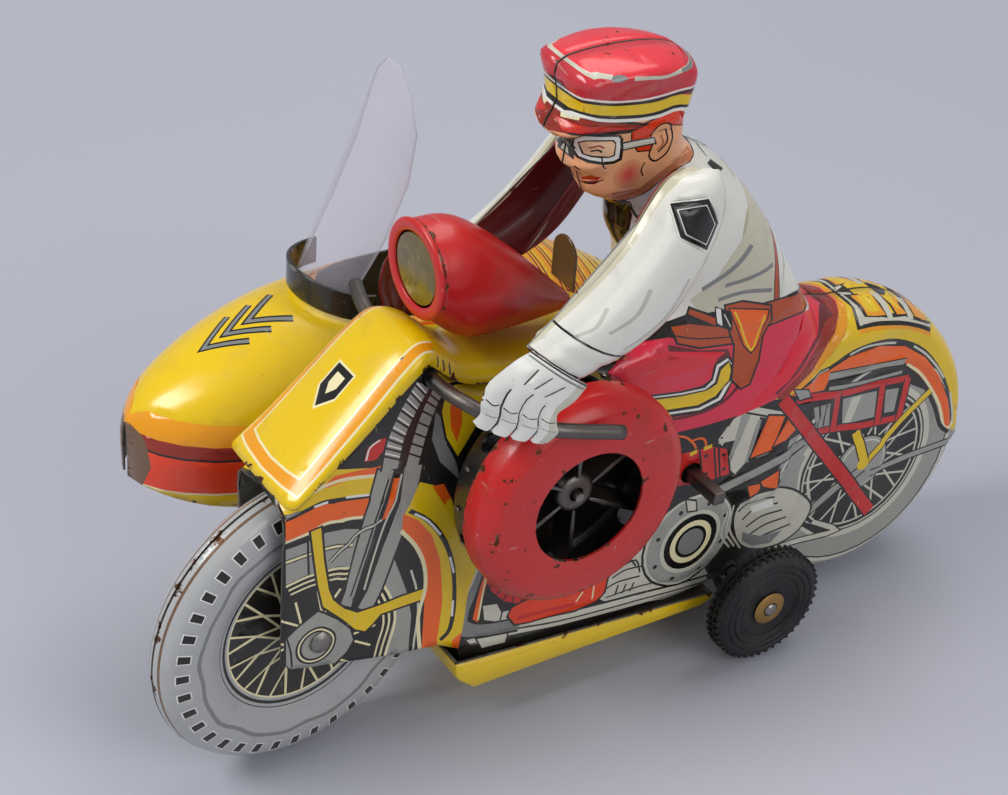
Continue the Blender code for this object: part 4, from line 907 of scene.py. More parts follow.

# each row: kind, ink, sizes in mm, then points in tenths of a millimetre, y before z
# The deeper cap red over the lower crown is painted shade, leaving the lighter cap red on the crown's top.
# The fill and the thick stroke in the greyed shirt colour on the torso are painted shade towards its rear
# side and by the collar.
# The narrow brick crescent along the back of the trousers is painted shade.
# The small cream patch near the front of the visor is a painted highlight.
# The tan fill along the jaw, just above the collar, is painted shade under the chin.
BODY_PRINT = """
fill mist 0 554 109 458 320 503 479 677 519 829 518 1001 408 1126 244 1099 16 965 -88 715 -56; ring pale 75
31.8 18 20.4; ring ink 75 31.8 18.4 18.8; ring ink 75 31.8 0 17.9; ring pale 75 31.8 16.5 17; spokes pale
75 31.8 6 16.4 26 0.55; ring mist 75 31.8 0 7.6; ring ink 75 31.8 7.2 7.6; ring pale 75 31.8 6.2 6.6; ring
ink 75 31.8 25.6 26; ring pale 75 31.8 26 27; fill yellow 0 430 617 489 669 568 713 628 732 661 739 569 815
531 880 692 856 983 676 1152 265 1024 316 1001 408 949 502 890 575 821 625 731 660 659 658 593 637 511 628
471 614; fill amber 0 459 618 492 653 549 691 616 730 648 736 656 741 654 742 676 739 673 734 650 721 603
683 545 639 497 621; fill orange 0 471 614 536 624 594 629 648 646 736 645 825 610 893 560 945 495 991 411
1022 325 996 333 960 415 912 484 841 557 817 575 718 597 602 617 583 583 501 604; line ink 1 1 515 624 594
635 659 658 732 657 822 622 890 575 949 502 996 415 1021 331; line pale 0.55 1 647 652 690 659 734 651 794
629 / 852 602 894 568 933 524 962 484; line mist 0.5 1 536 622 591 633; line pale 0.6 1 995 432 1014 375
1023 333; line cream 0.7 1 841 557 887 519 931 463 969 404 995 339 1016 327 1021 345; line ink 1.1 1 837
550 883 509 925 454 958 399 985 342 1016 313; trim pale ink 0.6 0 684 738 712 735 699 723 761 701 819 684
914 628 893 631 813 678 735 703 676 709 688 728 689 734; fill ink 0 691 737 725 733 777 721 766 720 767 702
699 717 700 729; fill amber 0 705 735 737 731 763 726 758 721 759 706 708 717 710 728; fill yellow 0 718
733 742 730 760 726 750 722 750 714 715 720 716 729; fill ink 0 783 719 747 772 765 762 833 694 843 677 788
696 788 709; fill amber 0 788 717 834 699 821 698 829 684 796 695 796 708; fill yellow 0 791 715 823 705
813 702 815 695 802 703; fill ink 0 775 756 793 751 863 698 912 636 852 669 855 683; fill pale 0 763 726
786 718 784 712 777 695 761 701 764 718 / 839 696 859 685 852 683 845 669 828 678 834 691; fill amber 0 868
680 837 716 910 642 900 642 858 668 861 679; line ink 1 1 684 704 732 699 795 680 856 652 901 625; line
amber 0.8 1 671 700 728 693 794 672 855 644 897 619; fill pale 0 302 535 326 595 358 623 458 579 457 558
396 583 399 475 365 431 341 456 345 535; fill mist 0 346 606 372 604 350 499 341 456 339 502; line mist 1 1
397 575 388 458; trim pale ink 0.5 0 364 622 464 574 462 559 361 607; trim orange ink 0.5 0 396 467 421 578
467 562 452 476 / 454 482 480 552 515 510 490 485 / 402 388 437 383 440 367 422 334 / 438 388 486 402 493
347 448 370; fill mist 0 494 392 552 421 578 392 567 307 505 342; line pale 0.8 1 588 414 569 362 571 300 /
613 395 597 328 617 245; line ink 3.6 0 321 396 412 425 561 452; line mist 2.6 0 321 396 412 425 561 452;
line ink 2.9 0 499 170 594 211 705 279 757 306; line mist 2 0 499 170 594 211 705 279 757 306; line ink 2.2
0 780 281 908 283 1055 285; line mist 1.4 0 780 281 908 283 1055 285; line ink 2 1 512 162 608 146 711 137
635 188; line pale 1.3 1 512 162 608 146 711 137 635 188; fill ink 0 560 226 636 182 696 143 651 147; line
ink 2.4 0 594 612 720 591 833 568; line mist 1.7 0 594 612 720 591 833 568; line ink 1.6 0 599 580 732 550
831 539; line mist 0.9 0 599 580 732 550 831 539; fill ink 0 544 580 865 512 853 400 589 451; fill mist 0
652 532 762 511 767 439 672 449; fill pale 0 682 522 714 518 696 446 674 451; fill mist 0 790 504 830 496
827 434 796 440 / 557 547 609 541 629 463 580 479; line ink 0.5 0 577 543 587 479 / 597 541 608 473; line
ink 2.4 0 494 593 670 544 853 516; line red 1.7 0 494 593 670 544 853 516; line ink 2.4 0 589 463 729 427
848 411; line red 1.7 0 589 463 729 427 848 411; line ink 2.4 0 853 516 846 403; line red 1.7 0 853 516 846
403; line ink 2.4 0 631 554 646 445; line red 1.7 0 631 554 646 445; line ink 2.4 0 777 524 780 415; line
red 1.7 0 777 524 780 415; line ink 2.4 0 933 457 853 397 756 315; line yellow 1.7 0 933 457 853 397 756
315; line ink 2.9 0 720 413 758 317; line yellow 2.2 0 720 413 758 317; ring yellow 75.3 31.8 0 1.7; line
ink 3.8 0 453 610 640 379 807 159; line red 3 0 453 610 640 379 807 159; trim mist ink 0.4 0 482 626 524
609 544 580 503 592; fill rose 0 -23 800 65 837 138 852 269 808 312 825 389 827 480 848 502 864 568 820 661
739 625 730 578 698 532 651 469 625 396 612 318 602 248 595 146 603 88 652 -14 696; fill brick 0 569 815
656 740 631 731 581 698 532 651 474 626 455 609 432 621 490 664 543 711 585 741 612 750; line maroon 1.2 1
527 842 618 750 583 744 532 716 480 673 430 632; fill crimson 0 330 599 410 662 475 752 490 810 477 843 604
753 564 746 511 714 459 654 395 617; fill maroon 0 134 837 215 804 288 785 306 747 291 656 262 694 262 760
193 789 138 809; fill crimson 0 -12 787 36 811 91 820 136 822 284 779 260 770 255 736 243 719 206 709 130
719 80 723; fill rose 0 113 757 200 751 241 766 243 724 205 714 129 724; fill ink 0 49 732 181 708 236 706
256 718 256 761 291 767 314 740 319 700 291 651 247 633 88 657; fill white 0 60 724 185 702 244 698 261 714
262 754 291 761 310 736 314 701 286 657 240 642 86 668; fill ink 0 65 717 188 696 247 692 267 707 271 744
295 755 308 732 309 702 280 663 237 649 86 673; fill yellow 0 71 710 191 690 251 686 273 701 278 735 296
750 303 728 302 701 275 670 233 657 85 681; line maroon 0.8 1 88 654 217 633 287 646 330 684; fill shirt 0
-32 1162 57 1193 91 1200 128 1225 173 1238 217 1234 187 1280 214 1296 374 1208 521 908 588 759 382 871 264
898 176 907 96 857 -39 968; fill sand 0 286 1263 346 1192 416 1068 389 990 397 874 201 896 172 937 219 979
269 1062 302 1116 333 1150 276 1232; fill shirt 0 314 1241 417 1093 494 942 472 861 402 873 431 977 414
1083 353 1179; line sand 2 1 217 1273 284 1212 297 1160; line fold 1.4 1 194 959 240 986 272 1010 298 1042;
line fold 1.2 1 252 952 313 955 371 970; line fold 1 1 243 918 310 919 381 904; line fold 1.2 1 74 1125 97
1066 103 1015; line fold 1 1 70 1051 99 1002; line ink 0.45 1 187 1280 213 1247 184 1237 130 1220 91 1196
52 1177 17 1163; line ink 0.4 1 209 1275 236 1241 225 1218 / 232 1269 276 1232 329 1173 / 47 1159 84 1107
119 1155; fill ink 0 232 1213 257 1192 229 1195 212 1216; line ink 1.5 1 375 1139 413 1069 389 1007 387 946
400 868; line strap 1 1 375 1139 413 1069 389 1007 387 946 400 868; trim ink ink 0.2 0 9 1175 44 1162 64
1119 64 1079 77 1037 93 999 35 1065 18 1111; fill fold 0 -7 1154 22 1142 26 1086 5 1101; trim strap ink 0.5
0 175 915 261 864 294 830 299 797 213 812 157 837 143 873 179 878 252 852 173 903 / 369 873 421 872 509 852
511 813 443 820 378 816; line ink 0.35 1 151 855 210 833 288 815; trim strap ink 0.5 0 266 897 307 895 383
864 389 827 373 792 369 736 353 681 334 676 311 701 305 790 279 844; trim orange ink 0.35 0 278 886 379 855
363 773 349 760 329 783; line yellow 0.5 1 292 875 340 777 355 773 370 847; fill ink 0 237 905 284 877 288
832 242 858; fill white 0 241 899 254 893 260 852 246 864; line pale 0.3 0 264 878 282 844; fill peach 0
-130 1339 -59 1380 58 1368 194 1300 213 1247 184 1237 130 1220 91 1196 52 1177 17 1163 -45 1177 -106 1215
-159 1293; fill tan 0 -1 1195 56 1198 118 1232 182 1248 186 1237 130 1220 91 1196 52 1177 17 1163; ring
blush_1 2.7 123.4 0 3.3; ring blush_2 2.7 123.4 0 2.8; ring blush_3 2.7 123.4 0 2.2; ring blush_4 2.7 123.4
0 1.6; ring blush 2.7 123.4 0 1; trim flame ink 0.35 0 22 1336 73 1346 123 1359 175 1300 105 1330 83 1310
78 1300 32 1304; trim flame ink 0.3 0 38 1291 80 1288 72 1277 44 1281; fill flame 0 118 1365 182 1316 191
1283 138 1318; trim peach ink 0.4 1 76 1311 87 1327 105 1328 116 1312 117 1286 107 1263 86 1252 73 1265 78
1286; line ink 0.35 1 90 1313 105 1314 108 1287 91 1268; line tan 0.5 1 95 1303 100 1284 88 1273; line ink
0.3 1 63 1252 56 1237 61 1223; trim pale ink 0.3 0 4 1304 80 1299 82 1290 5 1293; fill ink 0 -97 1332 -89
1347 -3 1328 9 1314 8 1270 -10 1266 -58 1270 -70 1274; fill white 0 -82 1319 -83 1340 -7 1325 2 1314 0 1276
-13 1273 -56 1277 -68 1279; fill ink 0 -77 1313 -71 1324 -15 1318 -7 1309 -10 1284 -21 1282 -54 1283 -65
1285; fill peachlight 0 -75 1312 -69 1321 -17 1315 -10 1308 -14 1287 -23 1285 -53 1287 -63 1288; line brick
0.35 1 -61 1304 -48 1312 -36 1306; line ink 0.4 1 -56 1296 -47 1301 -38 1296; trim pale ink 0.3 0 -114 1321
-79 1300 -74 1292 -75 1273 -110 1303; fill lips 0 -40 1213 -40 1235 -23 1230 -29 1222 -38 1208; fill brick
0 -37 1205 -25 1224 -28 1211 -34 1201; line ink 0.25 1 -36 1200 -20 1227; line ink 0.3 1 -37 1283 -33 1265
-24 1256; line ink 0.35 1 -73 1255 -65 1250; fill ink 0 -169 1360 -156 1412 -105 1390 -59 1378 63 1339 18
1327 -50 1335 -108 1346 -152 1350; fill brick 0 -160 1362 -151 1404 -108 1384 -58 1373 51 1337 12 1336 -53
1345 -105 1352 -129 1339; fill lips 0 -116 1367 -57 1362 40 1333 -54 1350 -118 1351; fill cream 0 -107 1383
-90 1387 -95 1375 -112 1370; fill cap 0 -183 1447 -181 1549 -50 1562 184 1513 208 1423 129 1380 33 1387 -64
1416 -103 1412; fill capdeep 0 -171 1432 -161 1525 -142 1508 -91 1472 -67 1467 -19 1461 59 1450 115 1445
173 1456 199 1404 129 1380 33 1387 -64 1416 -103 1412; line pale 0.7 1 -143 1512 -89 1472 -68 1469 -43
1465; line pale 0.8 1 -2 1458 36 1453 70 1446 108 1446 147 1443 172 1448; fill fold 1 -41 1467 -24 1467 -15
1460 -36 1456 -49 1461; line fold 0.7 1 115 1445 151 1443 166 1454; line ink 0.9 1 -151 1510 -139 1479 -106
1419; line white 0.5 1 -166 1459 -136 1442 -100 1422 -78 1423 -30 1409 32 1395 77 1394 121 1400 157 1400;
line ink 0.7 1 -166 1453 -136 1435 -99 1416 -77 1416 -29 1402 33 1388 78 1387 122 1393 158 1393; line
yellow 2.2 1 -165 1439 -134 1422 -98 1402 -75 1402 -26 1387 35 1374 81 1372 125 1378 186 1357; line ink 0.7
1 -163 1425 -108 1385 -98 1388 -73 1387 -23 1372 37 1359 83 1357 127 1363 188 1342; line white 0.6 1 -163
1419 -110 1381 -99 1384 -73 1381 -22 1365 37 1353 84 1351 128 1357 189 1335; line orange 0.5 1 168 593 211
580 240 552 251 527 / 234 562 258 562 271 546 271 526; trim red ink 0.5 0 186 538 233 533 288 530 327 514
348 437 314 437 272 435 207 452; line ink 0.5 0 258 530 277 439 / 294 526 314 437 / 306 522 324 436; ring
ink 27.7 50.9 0 0.5; ring ink 28.4 45.8 0 0.5; ring ink 32.3 49.8 0 0.5; ring ink 33.1 45.7 0 0.5; line
yellow 1 0 234 525 251 530 / 268 530 288 533; fill pale 0 300 546 317 581 329 567 313 526; ring ink 30.8 55
0 0.3; trim red ink 0.4 0 -265 403 -258 364 -243 329 -213 295 -172 272 -121 263 -118 370; line ink 0.35 0
-251 346 -178 352 / -235 318 -178 352 / -215 299 -178 352 / -192 282 -178 352 / -167 273 -178 352 / -142
271 -178 352; fill pale 0 -261 296 -227 292 -215 266 -191 263 -198 232 -256 257; line ink 0.4 0 -227 292
-215 266 -218 245; fill pale 0 39 202 42 239 63 265 100 301 133 332 162 376 306 210 338 156 200 174 67 180;
line ink 0.45 1 46 227 82 236 140 231 / 64 253 97 263 142 258 / 87 278 123 281 138 242 / 54 201 143 201 282
180 / 83 227 78 198 / 104 222 97 197 / 125 219 118 194 / 100 301 125 264 / 140 319 162 267 153 229; fill
fold 0 158 302 173 304 183 226 161 228; fill pale 0 -304 227 -275 224 -187 217 -64 197 67 183 174 173 333
152 373 92 177 146 70 156 -62 171 -185 191 -285 200; line ink 0.5 1 -305 233 -187 220 -65 200 66 186 173
176 333 155; line ink 0.4 1 -295 214 -186 203 -63 183 68 168 176 158 336 137; trim pale ink 0.4 0 -267 205
-195 198 -201 177 -256 180; fill orange 0 -264 387 -254 363 -264 313 -270 255 -281 264 -275 316; line cream
0.4 1 -259 370 -266 303 -270 261; line ink 4.4 1 -272 431 -293 347 -309 271 -301 245 -268 230 -212 221 -167
215; line fold 3.4 1 -272 431 -293 347 -309 271 -301 245 -268 230 -212 221 -167 215; line pale 1 1 -275 422
-297 343 -311 278; trim flame ink 0.5 0 -199 249 -191 268 -160 275 -117 270 -65 255 -18 246 12 256 26 273
51 258 47 221 28 200 -23 195 -90 205 -142 211 -180 220; line cream 0.4 1 -26 221 -10 243 / 17 213 18 249;
line red 1 1 -174 234 -105 227 -28 216; ring ink 26.2 28.7 0 12.6; ring pale 26.2 28.7 0 12; ring mist 26.2
28.7 8.2 11.4; ring ink 26.2 28.7 0 7.2; ring cream 26.2 28.7 0 5.6; ring ink 26.2 28.7 0 4.2; ring fold
26.2 28.7 0 3.4; studs ink 26.2 28.7 9.8 8 0.6; trim pale ink 0.4 0 240 403 262 395 265 372 243 377; trim
pale ink 0.6 1 391 289 400 331 430 351 488 343 551 313 601 268 619 235 604 195 571 174 510 172 451 188 412
224; line ink 0.5 1 399 309 434 329 501 313 / 415 280 450 301 513 292 / 430 255 472 271 529 267 / 445 230
487 243 545 241 / 454 207 503 214 562 214; fill fold 0 420 244 475 213 539 206 508 181 456 192 424 217;
fill white 0 431 313 493 310 502 290 441 290; line pale 0.5 1 371 331 366 271 403 211 / 360 330 351 271 389
213 / 382 335 380 270 422 198; fill yellow 0 -710 707 -537 803 -503 694 -530 660 -592 680 -636 688 -669 685
-721 670; fill ink 0 -624 761 -537 808 -493 799 -499 737 -525 732; fill red 0 -553 756 -545 787 -524 799
-506 798 -509 770 -526 752; line white 0.4 1 -548 757 -541 785 -519 797; fill orange 0 -652 722 -616 744
-561 739 -512 732 -510 707 -583 723 -626 721; line cream 0.8 1 -671 715 -638 727 -587 727 -510 709; fill
orange 0 -720 672 -669 683 -636 683 -592 677 -531 665 -538 613 -590 629 -635 633 -667 625 -722 620; line
ink 1 1 -720 672 -669 683 -636 688 -592 680 -526 666; line white 0.55 0 -590 683 -535 670 / -660 684 -630
686; line fold 0.5 0 -718 674 -691 683; line cream 0.8 1 -722 620 -667 623 -635 633 -590 629 -533 614; line
ink 1.2 1 -721 608 -667 610 -634 621 -589 619 -533 604; fill mist 0 -719 599 -671 601 -631 610 -589 607
-559 593 -526 559 -477 499 -445 401 -430 330 -432 264 -431 180 -503 198 -483 284 -469 345 -482 401 -509 454
-551 496 -596 512 -641 516 -674 516 -716 509; line ink 1.2 1 -718 566 -669 568 -621 568 -571 560; line
cream 0.6 1 -718 566 -669 568 -621 568 -571 560; line ink 0.5 0 -671 601 -665 507; line ink 0.9 1 -442 475
-419 392 -411 323 -417 244 -416 179; line pale 0.5 1 -435 448 -419 386 -414 324 -420 254 -421 181; line
cream 0.6 1 -716 504 -674 511 -640 511 -596 507 -550 491 -509 449 -480 393 -468 332 -482 270 -499 202; line
cream 0.5 1 -710 492 -671 498 -640 498 -599 494 -557 479 -519 441 -492 389 -482 333 -495 276 -509 211; line
cream 0.45 1 -705 480 -669 485 -640 485 -602 482 -563 468 -528 432 -504 385 -495 334 -507 282 -519 221;
spokes cream -64.4 33.6 4 13 16 0.5; trim mist ink 0.5 0 -642 412 -603 382 -570 342 -563 313 -578 287 -603
267 -631 248 -678 261 -713 300 -714 368 -683 391; line ink 0.4 1 -714 378 -705 338 -700 290; ring ink -64.9
33.2 3.2 4.6; ring cream -64.9 33.2 3.7 4.1; trim mist ink 0.5 0 -520 725 -484 712 -505 646 -534 532 -557
437 -568 397 -593 416 -582 446 -562 541 -535 656; fill ink 0 -479 711 -461 705 -468 628 -504 516 -533 424
-552 390 -566 414 -553 435 -530 525 -500 639; trim mist ink 0.5 0 -459 717 -420 704 -431 620 -470 509 -502
420 -526 372 -552 390 -531 428 -502 520 -466 632; fill orange 0 -483 692 -469 688 -480 637 -494 597 -505
597 -494 642; line pale 0.45 1 -465 696 -477 636 -500 580 -520 511 -539 431; line ink 0.5 1 -496 697 -514
634 -545 520 -570 426; line ink 1.1 1 -505 597 -555 584 -587 561 -619 531; line pale 0.5 1 -505 597 -555
584 -587 561 -619 531; line ink 4.6 1 -493 716 -484 786 -460 845 -428 900; line mist 3.6 1 -493 716 -484
786 -460 845 -428 900; line ink 3.8 1 -443 709 -430 778 -411 839 -391 880; line mist 2.8 1 -443 709 -430
778 -411 839 -391 880; coils ink 0.45 4.4 9 -49.2 73.5 -48.2 79 -45.8 84.9 -43 89.6; coils ink 0.4 3.4 8
-44.2 72.3 -42.8 78.3 -40.9 84.3 -39.3 87.6; coils white 0.3 4 9 -49.1 74.2 -48 79.7 -45.6 85.3 -42.8 90;
trim yellow ink 0.5 0 -665 625 -643 627 -633 541 -619 459 -609 430 -581 397 -554 378 -522 381 -459 388 -398
389 -397 362 -458 362 -502 360 -519 342 -537 327 -559 339 -592 380 -631 421 -644 482 -656 563; fill yellow
0 -438 623 -422 662 -385 641 -353 597 -323 515 -286 446 -276 433 -293 347 -305 238 -325 162 -400 192 -400
385 -405 451 -427 507 -458 550 -455 589; fill orange 0 -394 643 -368 641 -348 596 -363 587 / -457 595 -422
568 -389 520 -368 451 -357 342 -364 237 -353 170 -400 189 -400 385 -405 451 -427 507 -458 550; line cream
0.9 1 -460 553 -427 507 -405 451 -400 385 -413 315 -400 192; line ink 1.1 1 -444 600 -399 560 -362 500 -339
426 -328 331 -334 258 -356 234; line white 0.55 1 -432 588 -401 561 -371 518 / -348 455 -336 409 / -331 332
-331 289; line yellow 1.2 1 -355 598 -332 517 -300 442; fill orange 0 -325 162 -327 224 -305 238 -312 198;
fill fold 0 -397 825 -402 760 -380 699 -334 642 -344 689 -367 736 -377 800; trim yellow ink 0.5 0 -374 874
-300 858 -234 842 -275 821 -308 755 -341 702 -368 754 -383 820; fill orange 0 -358 859 -338 830 -335 775
-345 737 -360 775 -365 824; trim yellow ink 0.4 0 -412 920 -293 859 -306 856 -378 884
"""


def press_out(points):
    """Half width of the pressed body at points of its side outline."""
    total = np.zeros(len(points))
    width = np.zeros(len(points))
    radius = np.zeros(len(points))
    for y, z, half, edge in PRESSINGS:
        weight = 1.0 / ((points[:, 0] - y) ** 2 + (points[:, 1] - z) ** 2 + 20.0) ** 2
        total += weight
        width += weight * half
        radius += weight * edge
    rise = np.clip(gap_to(points, CLOSED_EDGE) / (radius / total), 0.0, 1.0)
    round_up = np.sqrt(1.0 - (1.0 - rise) ** 2)
    relief = np.zeros(len(points))
    for height, wide, line in EMBOSSED:
        relief += height * np.exp(-(gap_to(points, through(line, 4)) / wide) ** 2)
    for height, y, z, reach in DISCS:
        away = np.hypot(points[:, 0] - y, points[:, 1] - z)
        relief += height / (1.0 + np.exp((away - reach) * 2.5))
    return SEAM + (width / total - SEAM) * round_up + relief * round_up ** 4 * 0.8


def edge_points(line, offsets, pitch):
    """Loose points just inside a closed edge, so that its rounded shoulder is smooth."""
    line = split_line(line, pitch)
    made = []
    for before, here, after in zip(line, line[1:], line[2:]):
        way = Vector(after) - Vector(before)
        if way.length < 1e-6:
            continue
        inward = Vector((-way.y, way.x)).normalized()
        made += [tuple(Vector(here) + inward * offset) for offset in offsets]
    spots = np.array(made)
    reach = np.tile(np.array(offsets), len(made) // len(offsets))
    return [tuple(p) for p in spots[gap_to(spots, CLOSED_EDGE) > reach * 0.93]]


def body_halves(sizes, finishes):
    holes = [("hole", loop) for spot in (((-64.4, 33.6), 1.8), ((-41.2, 90.9), 2.0), ((40.3, 13.8), 2.0))
             for loop in ring_shapes(spot[0], 0, spot[1], 20)]
    near_holes = [("hole", loop) for spot in (((24.3, 47.4), 2.6), ((-13.7, 62.3), 2.2))
                  for loop in ring_shapes(spot[0], 0, spot[1], 20)]
    shapes = printed(BODY_PRINT)
    outline = split_line(BODY_OUTLINE + BODY_OUTLINE[:1], 1.6)[:-1]
    loose = edge_points(CLOSED_EDGE, (0.12, 0.4, 0.9, 1.6, 2.5, 3.6), 1.6)
    for label, side, extra in (("left", 1, holes + near_holes), ("right", -1, holes)):
        flat, faces, inks, _ = cut_sheet(outline, "ink", shapes + extra, sizes.print_pitch, loose)
        depth = press_out(flat) * side
        verts = np.column_stack((depth, flat[:, 0], flat[:, 1]))
        if side < 0:
            faces = faces[:, ::-1]
        seam_gap = gap_to(flat, CLOSED_EDGE)
        open_gap = np.minimum(gap_to(flat, CHEEK_EDGE + CHEEK_LOW), gap_to(flat, MOTOR_OPENING))
        worn = np.exp(-seam_gap / 0.8) * 0.45 + np.exp(-open_gap / 0.6) * 0.6
        half = add_piece(f"body_{label}_half", verts, faces, [finishes["litho"], finishes["inner"]],
                         inks, worn, angle=60.0)
        thicken(half, sizes.tin, -1.0, 1)
        hand_over(half, "frame", "printed_tin", f"body_{label}_shell")


# ---- yellow front mudguard and tank top
HOOD_LINE = through([(-73.8, 72.2), (-66.0, 79.6), (-56.0, 89.2), (-49.0, 95.6), (-44.0, 98.4),
                     (-39.5, 97.4), (-35.5, 93.8), (-31.0, 90.6), (-24.0, 89.2), (-12.0, 87.8),
                     (4.0, 86.8)], 6)
HOOD_HALF = [(0.0, 13.8), (0.3, 12.6), (0.45, 11.6), (0.62, 10.4), (1.0, 12.4)]
HOOD_SKIRT = [(0.0, 0.8), (0.12, 2.4), (0.3, 3.2), (1.0, 3.2)]


def hood_place(u, across):
    reach = min(max(u, 0.0), 1.0) * (len(HOOD_LINE) - 1)
    index = min(int(reach), len(HOOD_LINE) - 2)
    here, there = Vector(HOOD_LINE[index]), Vector(HOOD_LINE[index + 1])
    spot = here.lerp(there, reach - index)
    along_line = (there - here).normalized()
    down = Vector((along_line.y, -along_line.x))
    half = eased(HOOD_HALF, u)
    spot = spot + down * (eased(HOOD_SKIRT, u) * abs(across) ** 4 + 0.8 * across * across)
    return half * across * (1.0 - 0.06 * abs(across) ** 6), spot.x, spot.y


HOOD_LONG = 90.0
HOOD_WIDE = 13.0


def hood_lines():
    """Printed lines of the mudguard on a flat sheet, its nose at nothing."""
    wide = HOOD_WIDE

    def line(ink, points, width):
        shapes.extend((ink, quad) for quad in stroke(split_line(points, 1.5), width))

    shapes = []
    for ink, inset, width in (("amber", 2.9, 2.3), ("cream", 1.7, 0.45), ("cream", 4.1, 0.45)):
        reach = wide - inset
        points = [(46, -reach + 1.2), (30, -reach + 0.6), (inset + 1.0, -reach), (inset + 0.4, -reach * 0.6),
                  (inset, 0), (inset + 0.4, reach * 0.6), (inset + 1.0, reach), (30, reach - 0.6),
                  (46, reach - 1.2)]
        line(ink, points, width)
    for side in (-1, 1):
        for place in (49.0, 52.0, 55.0):
            line("ink", [(place, side * wide * 0.82), (place + 1.6, side * wide * 0.97)], 0.7)
    shapes.append(("cream", [(13.0, 0.0), (15.6, 3.2), (20.4, 3.2), (20.4, -3.2), (15.6, -3.2)]))
    shapes.append(("ink", [(13.5, 0.0), (15.8, 2.8), (20.0, 2.8), (20.0, -2.8), (15.8, -2.8)]))
    shapes.append(("cream", [(15.4, 0.0), (16.8, 1.4), (18.8, 1.4), (18.8, -1.4), (16.8, -1.4)]))
    return shapes


def mudguard(finishes):
    long, wide = HOOD_LONG, HOOD_WIDE
    nose = [(0.6, wide * 0.94), (0.0, wide * 0.8), (0.0, -wide * 0.8), (0.6, -wide * 0.94), (1.4, -wide)]
    loop = nose + [(long, -wide), (long, wide), (1.4, wide), nose[0]]
    outline = split_line(loop, 1.5)[:-1]
    flat, faces, inks, rim = cut_sheet(outline, "yellow", hood_lines(), 1.5)
    verts = [hood_place(a / long, b / wide) for a, b in flat]
    made = add_piece("front_mudguard_hood", verts, faces, [finishes["litho"], finishes["inner"]], inks,
                     np.exp(-rim / 0.9), angle=50.0)
    if made.data.polygons[0].normal.z < 0:
        made.data.flip_normals()
    thicken(made, 0.5, -1.0, 1)
    hand_over(made, "frame", "yellow_enamel", "front_fender_hood")


# ---- headlamp
LAMP_FRONT = -39.0
LAMP_TIP = -3.5
LAMP_Z = 109.5
LAMP_TOP = [(0.0, 119.3), (0.25, 118.0), (0.6, 108.0), (1.0, 93.8)]
LAMP_LOW = [(0.0, 99.9), (0.22, 93.0), (0.4, 91.6), (1.0, 90.4)]
LAMP_HALF = [(0.0, 9.8), (0.2, 9.9), (0.55, 7.4), (1.0, 0.9)]


def lamp_place(u, v):
    top, low = eased(LAMP_TOP, u), eased(LAMP_LOW, u)
    angle = 2 * math.pi * v
    y = LAMP_FRONT + (LAMP_TIP - LAMP_FRONT) * u
    return (eased(LAMP_HALF, u) * math.sin(angle), y,
            (top + low) / 2 + (top - low) / 2 * math.cos(angle))


def headlamp(finishes):
    shell = mapped("headlamp_shell_piece", 36, 64, lamp_place, [finishes["red"], finishes["plum"]],
                   wrap=True)
    face_up(shell)
    start = (LAMP_FRONT + SHIFT.y) * MM
    mark_worn(shell, [math.exp(-(v.co.y - start) / 0.0012) for v in shell.data.vertices])
    thicken(shell, 0.6, -1.0, 1)
    hand_over(shell, "frame", "red_enamel", "headlamp_shell")
    facing = Matrix.Rotation(-math.pi / 2, 3, "Z")
    centre = (0, LAMP_FRONT, LAMP_Z)
    rim = lathe("headlamp_rim", rounded([(9.2, 0.2), (10.1, 0.1), (10.3, 0.7), (9.8, 1.2), (8.9, 1.3),
                                         (7.9, 1.1), (7.6, 0.7), (7.9, 0.2), (9.2, 0.2)], 0.25)[:-1],
                finishes["red"], centre, 64, facing, closed=True)
    hand_over(rim, "frame", "red_enamel", "headlamp_bezel")
    dome = [(0.0, 1.15), (3.0, 1.1), (5.5, 0.95), (7.2, 0.7), (7.4, 0.3), (0.0, 0.2)]
    lens = lathe("headlamp_glass", dome, finishes["amber"], centre, 48, facing)
    hand_over(lens, "frame", "amber_celluloid", "headlamp_lens")
    loop = [(-11.0, 91.4), (-3.0, 91.4)] + arc((-7.0, 98.4), 4.0, 0.0, 180.0, 20)
    tab = plate("tank_plate", loop, -0.3, 0.3, finishes["brown"], "y", 0.1)
    hand_over(tab, "frame", "bright_steel", "tank_tab")


